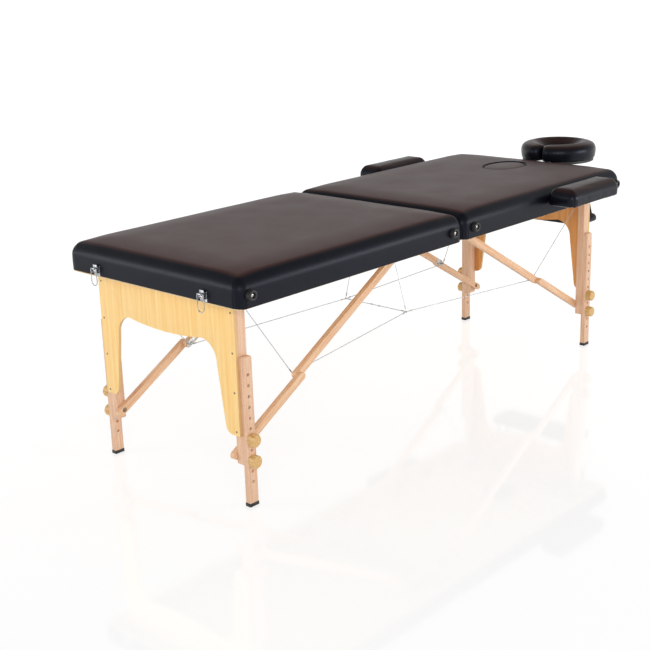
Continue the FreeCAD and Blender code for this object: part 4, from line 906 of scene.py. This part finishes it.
def stay_wires(end):
    """Straight rope stays from each knee to the leg top and to the middle, drawn tight by the open table."""
    sign = -1 if end == "foot" else 1
    knee_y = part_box(end + "_knee_plates")[1].y - KNEE_PLATE_IN
    leg_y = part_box(end + "_inner_legs")[1].y - LEG_FACE_IN
    edit = bmesh.new()
    for side in (-1, 1):
        mirror = Vector((1, side, 1))
        knee = Vector((HINGE_X + sign * KNEE_OUT, side * knee_y, KNEE_Z))
        leg_top = Vector((HINGE_X + sign * LEG_TOP_OUT, side * leg_y, LEG_TOP_Z))
        meet = MEETING * mirror
        eye(edit, knee + Vector((0, side * KNEE_EYE_OUT, 0)), KNEE_EYE_MM)
        rope(edit, knee, leg_top)
        if end == "foot":
            eye(edit, meet, MEETING_EYE_MM)
            rope(edit, knee, meet)
            rope(edit, meet, TETHER * mirror)
            rope(edit, Vector((meet.x, 0, meet.z)), meet)
        else:
            rope(edit, knee, meet + HEAD_SHIFT)
    wires = finished(end + "_stay_wires", edit, ROPE_STEEL, end + "_half")
    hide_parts(end + "_wires")
    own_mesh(wires)


for end in ("foot", "head"):
    stay_wires(end)


# Bumper feet: radius, height on the skirt, where they stand on it and the floor of the cup, and both profiles
BUMPER_RADIUS, BUMPER_Z, BUMPER_SEAT_Y, BUMPER_CUP_Y = 0.016, 0.6, -0.3505, -0.3575
BUMPER = ((0, 0), (15.6, 0), (16, 0.8), (15.6, 4), (14.2, 10.5), (13.2, 12.9), (11.6, 13.5), (9.4, 13.4),
          (7.6, 12.4), (6.8, 10.5), (6.6, 7.0), (0, 7.0))
CUP_SCREW = ((0, -0.5), (5.4, -0.5), (5.4, 0.6), (4.6, 1.9), (2.6, 2.7), (1.7, 2.8), (1.5, 1.4), (0, 1.4))


def bumper_feet(end):
    """Rubber bumper feet with a screw sunk in a cup."""
    low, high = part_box(end + "_bumpers")
    rubber, screws = bmesh.new(), bmesh.new()
    for x in (low.x + BUMPER_RADIUS, high.x - BUMPER_RADIUS):
        lathe(rubber, (x, BUMPER_SEAT_Y, BUMPER_Z), (0, -1, 0), BUMPER, 40)
        lathe(screws, (x, BUMPER_CUP_Y, BUMPER_Z), (0, -1, 0), CUP_SCREW, 24)
    feet = finished(end + "_bumper_feet", rubber, BLACK_RUBBER, end + "_half")
    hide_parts(end + "_bumpers")
    finished(end + "_bumper_screws", screws, ZINC, end + "_half")


for end in ("foot", "head"):
    bumper_feet(end)


# Handle: webbing width, thickness of strap and patch, their places across the table and the patch length
STRAP_WIDTH_MM, STRAP_THICK_MM, PATCH_THICK_MM = 25.0, 3.4, 1.6
STRAP_Y, PATCH_Y, PATCH_LENGTH = 0.3528, 0.3556, 0.027
# Its bow: how far out, from which share of the length and over which, and in how many steps it is drawn
BOW_OUT, BOW_FROM, BOW_OVER, STRAP_STEPS = 0.0305, 0.16, 0.2, 48


def carry_strap():
    """Webbing handle, sewn to two patches on the left side of the foot half."""
    low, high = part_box("carry_handle")
    z = (low.z + high.z) / 2
    path = []
    for k in range(STRAP_STEPS + 1):
        share = k / STRAP_STEPS
        bow = smooth((share - BOW_FROM) / BOW_OVER) * smooth((1 - BOW_FROM - share) / BOW_OVER)
        path.append(Vector((low.x + (high.x - low.x) * share, STRAP_Y + BOW_OUT * bow, z)))
    edit = bmesh.new()
    sweep(edit, path, strap_section(STRAP_THICK_MM, STRAP_WIDTH_MM), (0, 0, 1))
    for x in (low.x, high.x - PATCH_LENGTH):
        patch = [Vector((x, PATCH_Y, z)), Vector((x + PATCH_LENGTH, PATCH_Y, z))]
        sweep(edit, patch, strap_section(PATCH_THICK_MM, STRAP_WIDTH_MM), (0, 0, 1))
    strap = finished("carry_strap", edit, BLACK_WEBBING, "foot_half")
    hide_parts("carry_handle")
    return low, high, z


strap_low, strap_high, strap_z = carry_strap()


# Repeats: hem staples and seam stitches

def bar_row_tree():
    """Geometry Nodes: one small round bar on every point, turned by the point's own angles."""
    tree = bpy.data.node_groups.new("bar_row", "GeometryNodeTree")
    for name, kind in (("Geometry", "Geometry"), ("Length", "Float"), ("Radius", "Float"),
                       ("Wobble", "Float"), ("Seed", "Int"), ("Material", "Material")):
        tree.interface.new_socket(name, in_out="INPUT", socket_type="NodeSocket" + kind)
    tree.interface.new_socket("Geometry", in_out="OUTPUT", socket_type="NodeSocketGeometry")
    inputs = add(tree, "NodeGroupInput").outputs
    ends = []
    for share in (-0.5, 0.5):
        reach = add(tree, "ShaderNodeMath", {"operation": "MULTIPLY", 1: share}, {0: inputs["Length"]})
        ends.append(add(tree, "ShaderNodeCombineXYZ", links={"X": reach}))
    line = add(tree, "GeometryNodeCurvePrimitiveLine", links={"Start": ends[0], "End": ends[1]})
    ring = add(tree, "GeometryNodeCurvePrimitiveCircle", {"Resolution": 8}, {"Radius": inputs["Radius"]})
    bar = add(tree, "GeometryNodeCurveToMesh", {"Fill Caps": True}, {"Curve": line, "Profile Curve": ring})
    turn = add(tree, "GeometryNodeInputNamedAttribute", {"data_type": "FLOAT_VECTOR", "Name": "turn"})
    low = add(tree, "ShaderNodeMath", {"operation": "MULTIPLY", 1: -1.0}, {0: inputs["Wobble"]})
    # the float sockets of this node are its third and fourth
    stray = add(tree, "FunctionNodeRandomValue", {"data_type": "FLOAT"},
                {2: low, 3: inputs["Wobble"], "Seed": inputs["Seed"]})
    lean = add(tree, "ShaderNodeCombineXYZ", links={"Z": stray.outputs[1]})
    angles = add(tree, "ShaderNodeVectorMath", {"operation": "ADD"}, {0: turn, 1: lean})
    rows = add(tree, "GeometryNodeInstanceOnPoints",
               links={"Points": inputs["Geometry"], "Instance": bar, "Rotation": angles})
    real = add(tree, "GeometryNodeRealizeInstances", links={"Geometry": rows})
    painted = add(tree, "GeometryNodeSetMaterial", links={"Geometry": real, "Material": inputs["Material"]})
    add(tree, "NodeGroupOutput", links={"Geometry": painted})
    return tree


BAR_ROW = bar_row_tree()
WOBBLE_SEED = 7


def bar_row(name, places, length_mm, radius_mm, wobble, material, body):
    """places is (spot, turn) pairs. The row becomes one plain mesh on its body."""
    points = bpy.data.meshes.new(name + "_points")
    points.from_pydata([p for p, _ in places], [], [])
    layer = points.attributes.new("turn", "FLOAT_VECTOR", "POINT")
    layer.data.foreach_set("vector", [v for _, turn in places for v in turn])
    holder = placed(name + "_points", points)
    maker = holder.modifiers.new("row", "NODES")
    maker.node_group = BAR_ROW
    keys = {i.name: i.identifier for i in BAR_ROW.interface.items_tree if i.in_out == "INPUT"}
    settings = {"Length": length_mm * MM, "Radius": radius_mm * MM, "Wobble": wobble, "Seed": WOBBLE_SEED,
                "Material": material}
    for key, value in settings.items():
        maker[keys[key]] = value
    bpy.context.view_layer.update()
    mesh = evaluated(holder)
    bpy.data.objects.remove(holder)
    mesh.name = name
    piece = placed(name, mesh)
    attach(piece, body)


# Staples along the hem's underside: pitch, first one, room kept free at both ends, inset and height
STAPLE_PITCH, STAPLE_START, STAPLE_FREE, STAPLE_INSET, STAPLE_Z = 0.045, 0.05, 0.08, 0.009, 0.5648
for end in ("foot", "head"):
    low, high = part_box(end + "_skirt")
    spots = []
    for k in range(int((high.x - low.x - STAPLE_FREE) / STAPLE_PITCH)):
        for y in (low.y + STAPLE_INSET, high.y - STAPLE_INSET):
            spots.append(((low.x + STAPLE_START + STAPLE_PITCH * k, y, STAPLE_Z), (0, 0, 0)))
    bar_row(end + "_hem_staples", spots, 11, 0.45, 0.12, ZINC, end + "_half")

# Stitches: a rectangle on each patch of the handle, two rows along and two columns up
STITCH_PITCH, STITCH_Y = 0.004, 0.3566
STITCH_ROWS, ROW_START, ROW_COUNT = (-0.010, 0.010), 0.0035, 6
STITCH_COLUMNS, COLUMN_START, COLUMN_COUNT = (0.003, 0.024), -0.008, 5
stitches = []
for x0 in (strap_low.x, strap_high.x - PATCH_LENGTH):
    for k in range(ROW_COUNT):
        for z in STITCH_ROWS:
            stitches.append(((x0 + ROW_START + STITCH_PITCH * k, STITCH_Y, strap_z + z), (0, 0, 0)))
    for k in range(COLUMN_COUNT):
        for x in STITCH_COLUMNS:
            spot = (x0 + x, STITCH_Y, strap_z + COLUMN_START + STITCH_PITCH * k)
            stitches.append((spot, (0, math.pi / 2, 0)))
bar_row("handle_stitches", stitches, 3.0, 0.35, 0.0, SEAM_THREAD, "foot_half")


# Floor, light and camera

floor_mesh = bpy.data.meshes.new("studio_floor")
floor_mesh.from_pydata([(-40, -40, 0), (40, -40, 0), (40, 40, 0), (-40, 40, 0)], [], [(0, 1, 2, 3)])
floor = placed("studio_floor", floor_mesh)
# White polished floor: keeps a soft shadow and a faint mirror image. To the eye most of its white is its own
# glow, so that it is white in the picture. To other rays it is a dark grey that throws little light back up.
FLOOR_GLOW, FLOOR_SHADE, HAZE_MM = 0.72, 0.3, 900
floor_white, tree, shader = new_material("white_floor")
haze = object_noise(tree, HAZE_MM, 2.0)
plain = ramp(tree, haze, ((0.3, "#fbfbfb"), (0.7, "#ffffff")))
rays = add(tree, "ShaderNodeLightPath")
direct = add(tree, "ShaderNodeMath", {"operation": "MAXIMUM"},
             {0: rays.outputs["Is Camera Ray"], 1: rays.outputs["Is Glossy Ray"]})
seen = add(tree, "ShaderNodeMath", {"operation": "MAXIMUM"},
           {0: direct, 1: rays.outputs["Is Transmission Ray"]})
rest = [FLOOR_SHADE] * 3 + [1.0]
base = add(tree, "ShaderNodeMix", {"data_type": "RGBA", 7: rest}, {0: seen, 6: plain})
own = add(tree, "ShaderNodeMath", {"operation": "MULTIPLY", 1: FLOOR_GLOW}, {0: seen})
set_node(tree, shader, {"Emission Color": (1, 1, 1, 1), "Roughness": 0.06, "Specular IOR Level": 0.5},
         {"Base Color": base.outputs[2], "Emission Strength": own})
floor_mesh.materials.append(floor_white)

scene = bpy.context.scene
world = bpy.data.worlds.new("white_studio")
scene.world = world
world.use_nodes = True
sky = world.node_tree
sky.nodes.clear()
# paler at the horizon than overhead, so that rounded vinyl edges get a light and a dark band
facing = add(sky, "ShaderNodeSeparateXYZ", links={0: add(sky, "ShaderNodeTexCoord").outputs["Generated"]})
level = add(sky, "ShaderNodeMapRange", {"From Min": 0.05, "From Max": 0.7, "To Min": 1.0, "To Max": 0.35},
            {"Value": facing.outputs[2]})
glow = add(sky, "ShaderNodeBackground", {"Color": (1, 1, 1, 1)}, {"Strength": level})
add(sky, "ShaderNodeOutputWorld", links={"Surface": glow})


def softbox(name, spot, target, size, power):
    lamp = bpy.data.lights.new(name, "AREA")
    lamp.shape, lamp.size, lamp.size_y = "RECTANGLE", size[0], size[1]
    lamp.energy = power
    way = Vector(target) - Vector(spot)
    turned = way.to_track_quat("-Z", "Y").to_matrix().to_4x4()
    placed(name, lamp).matrix_world = Matrix.Translation(Vector(spot)) @ turned


softbox("front_softbox", (-3.5, -3.0, 1.9), (-0.4, 0.0, 0.5), (2.6, 1.3), 64)
softbox("left_softbox", (-3.1, 2.0, 1.0), (-1.06, 0.0, 0.62), (1.2, 0.7), 20)
softbox("right_softbox", (1.6, -2.6, 1.0), (-0.4, -0.35, 0.62), (1.6, 0.7), 28)

# Camera placed by matching the feet, corners and knobs of the photo
YAW, PITCH, ROLL = math.radians(43.129), math.radians(17.099), math.radians(-1.847)
CAMERA_SPOT, FOCAL_PIXELS, PHOTO_PIXELS = (-2.9955, -2.4467, 1.3990), 1203.596, 650
ahead = Vector((math.cos(PITCH) * math.cos(YAW), math.cos(PITCH) * math.sin(YAW), -math.sin(PITCH)))
right = ahead.cross(Vector((0, 0, 1))).normalized()
upward = right.cross(ahead)
turned_right = right * math.cos(ROLL) + upward * math.sin(ROLL)
turned_up = upward * math.cos(ROLL) - right * math.sin(ROLL)
lens = bpy.data.cameras.new("photo_camera")
lens.sensor_width = 36.0
lens.lens = FOCAL_PIXELS / PHOTO_PIXELS * lens.sensor_width
camera = placed("photo_camera", lens)
axes = Matrix((turned_right, turned_up, -ahead)).transposed().to_4x4()
camera.matrix_world = Matrix.Translation(CAMERA_SPOT) @ axes
scene.camera = camera
scene.view_settings.view_transform = "Standard"
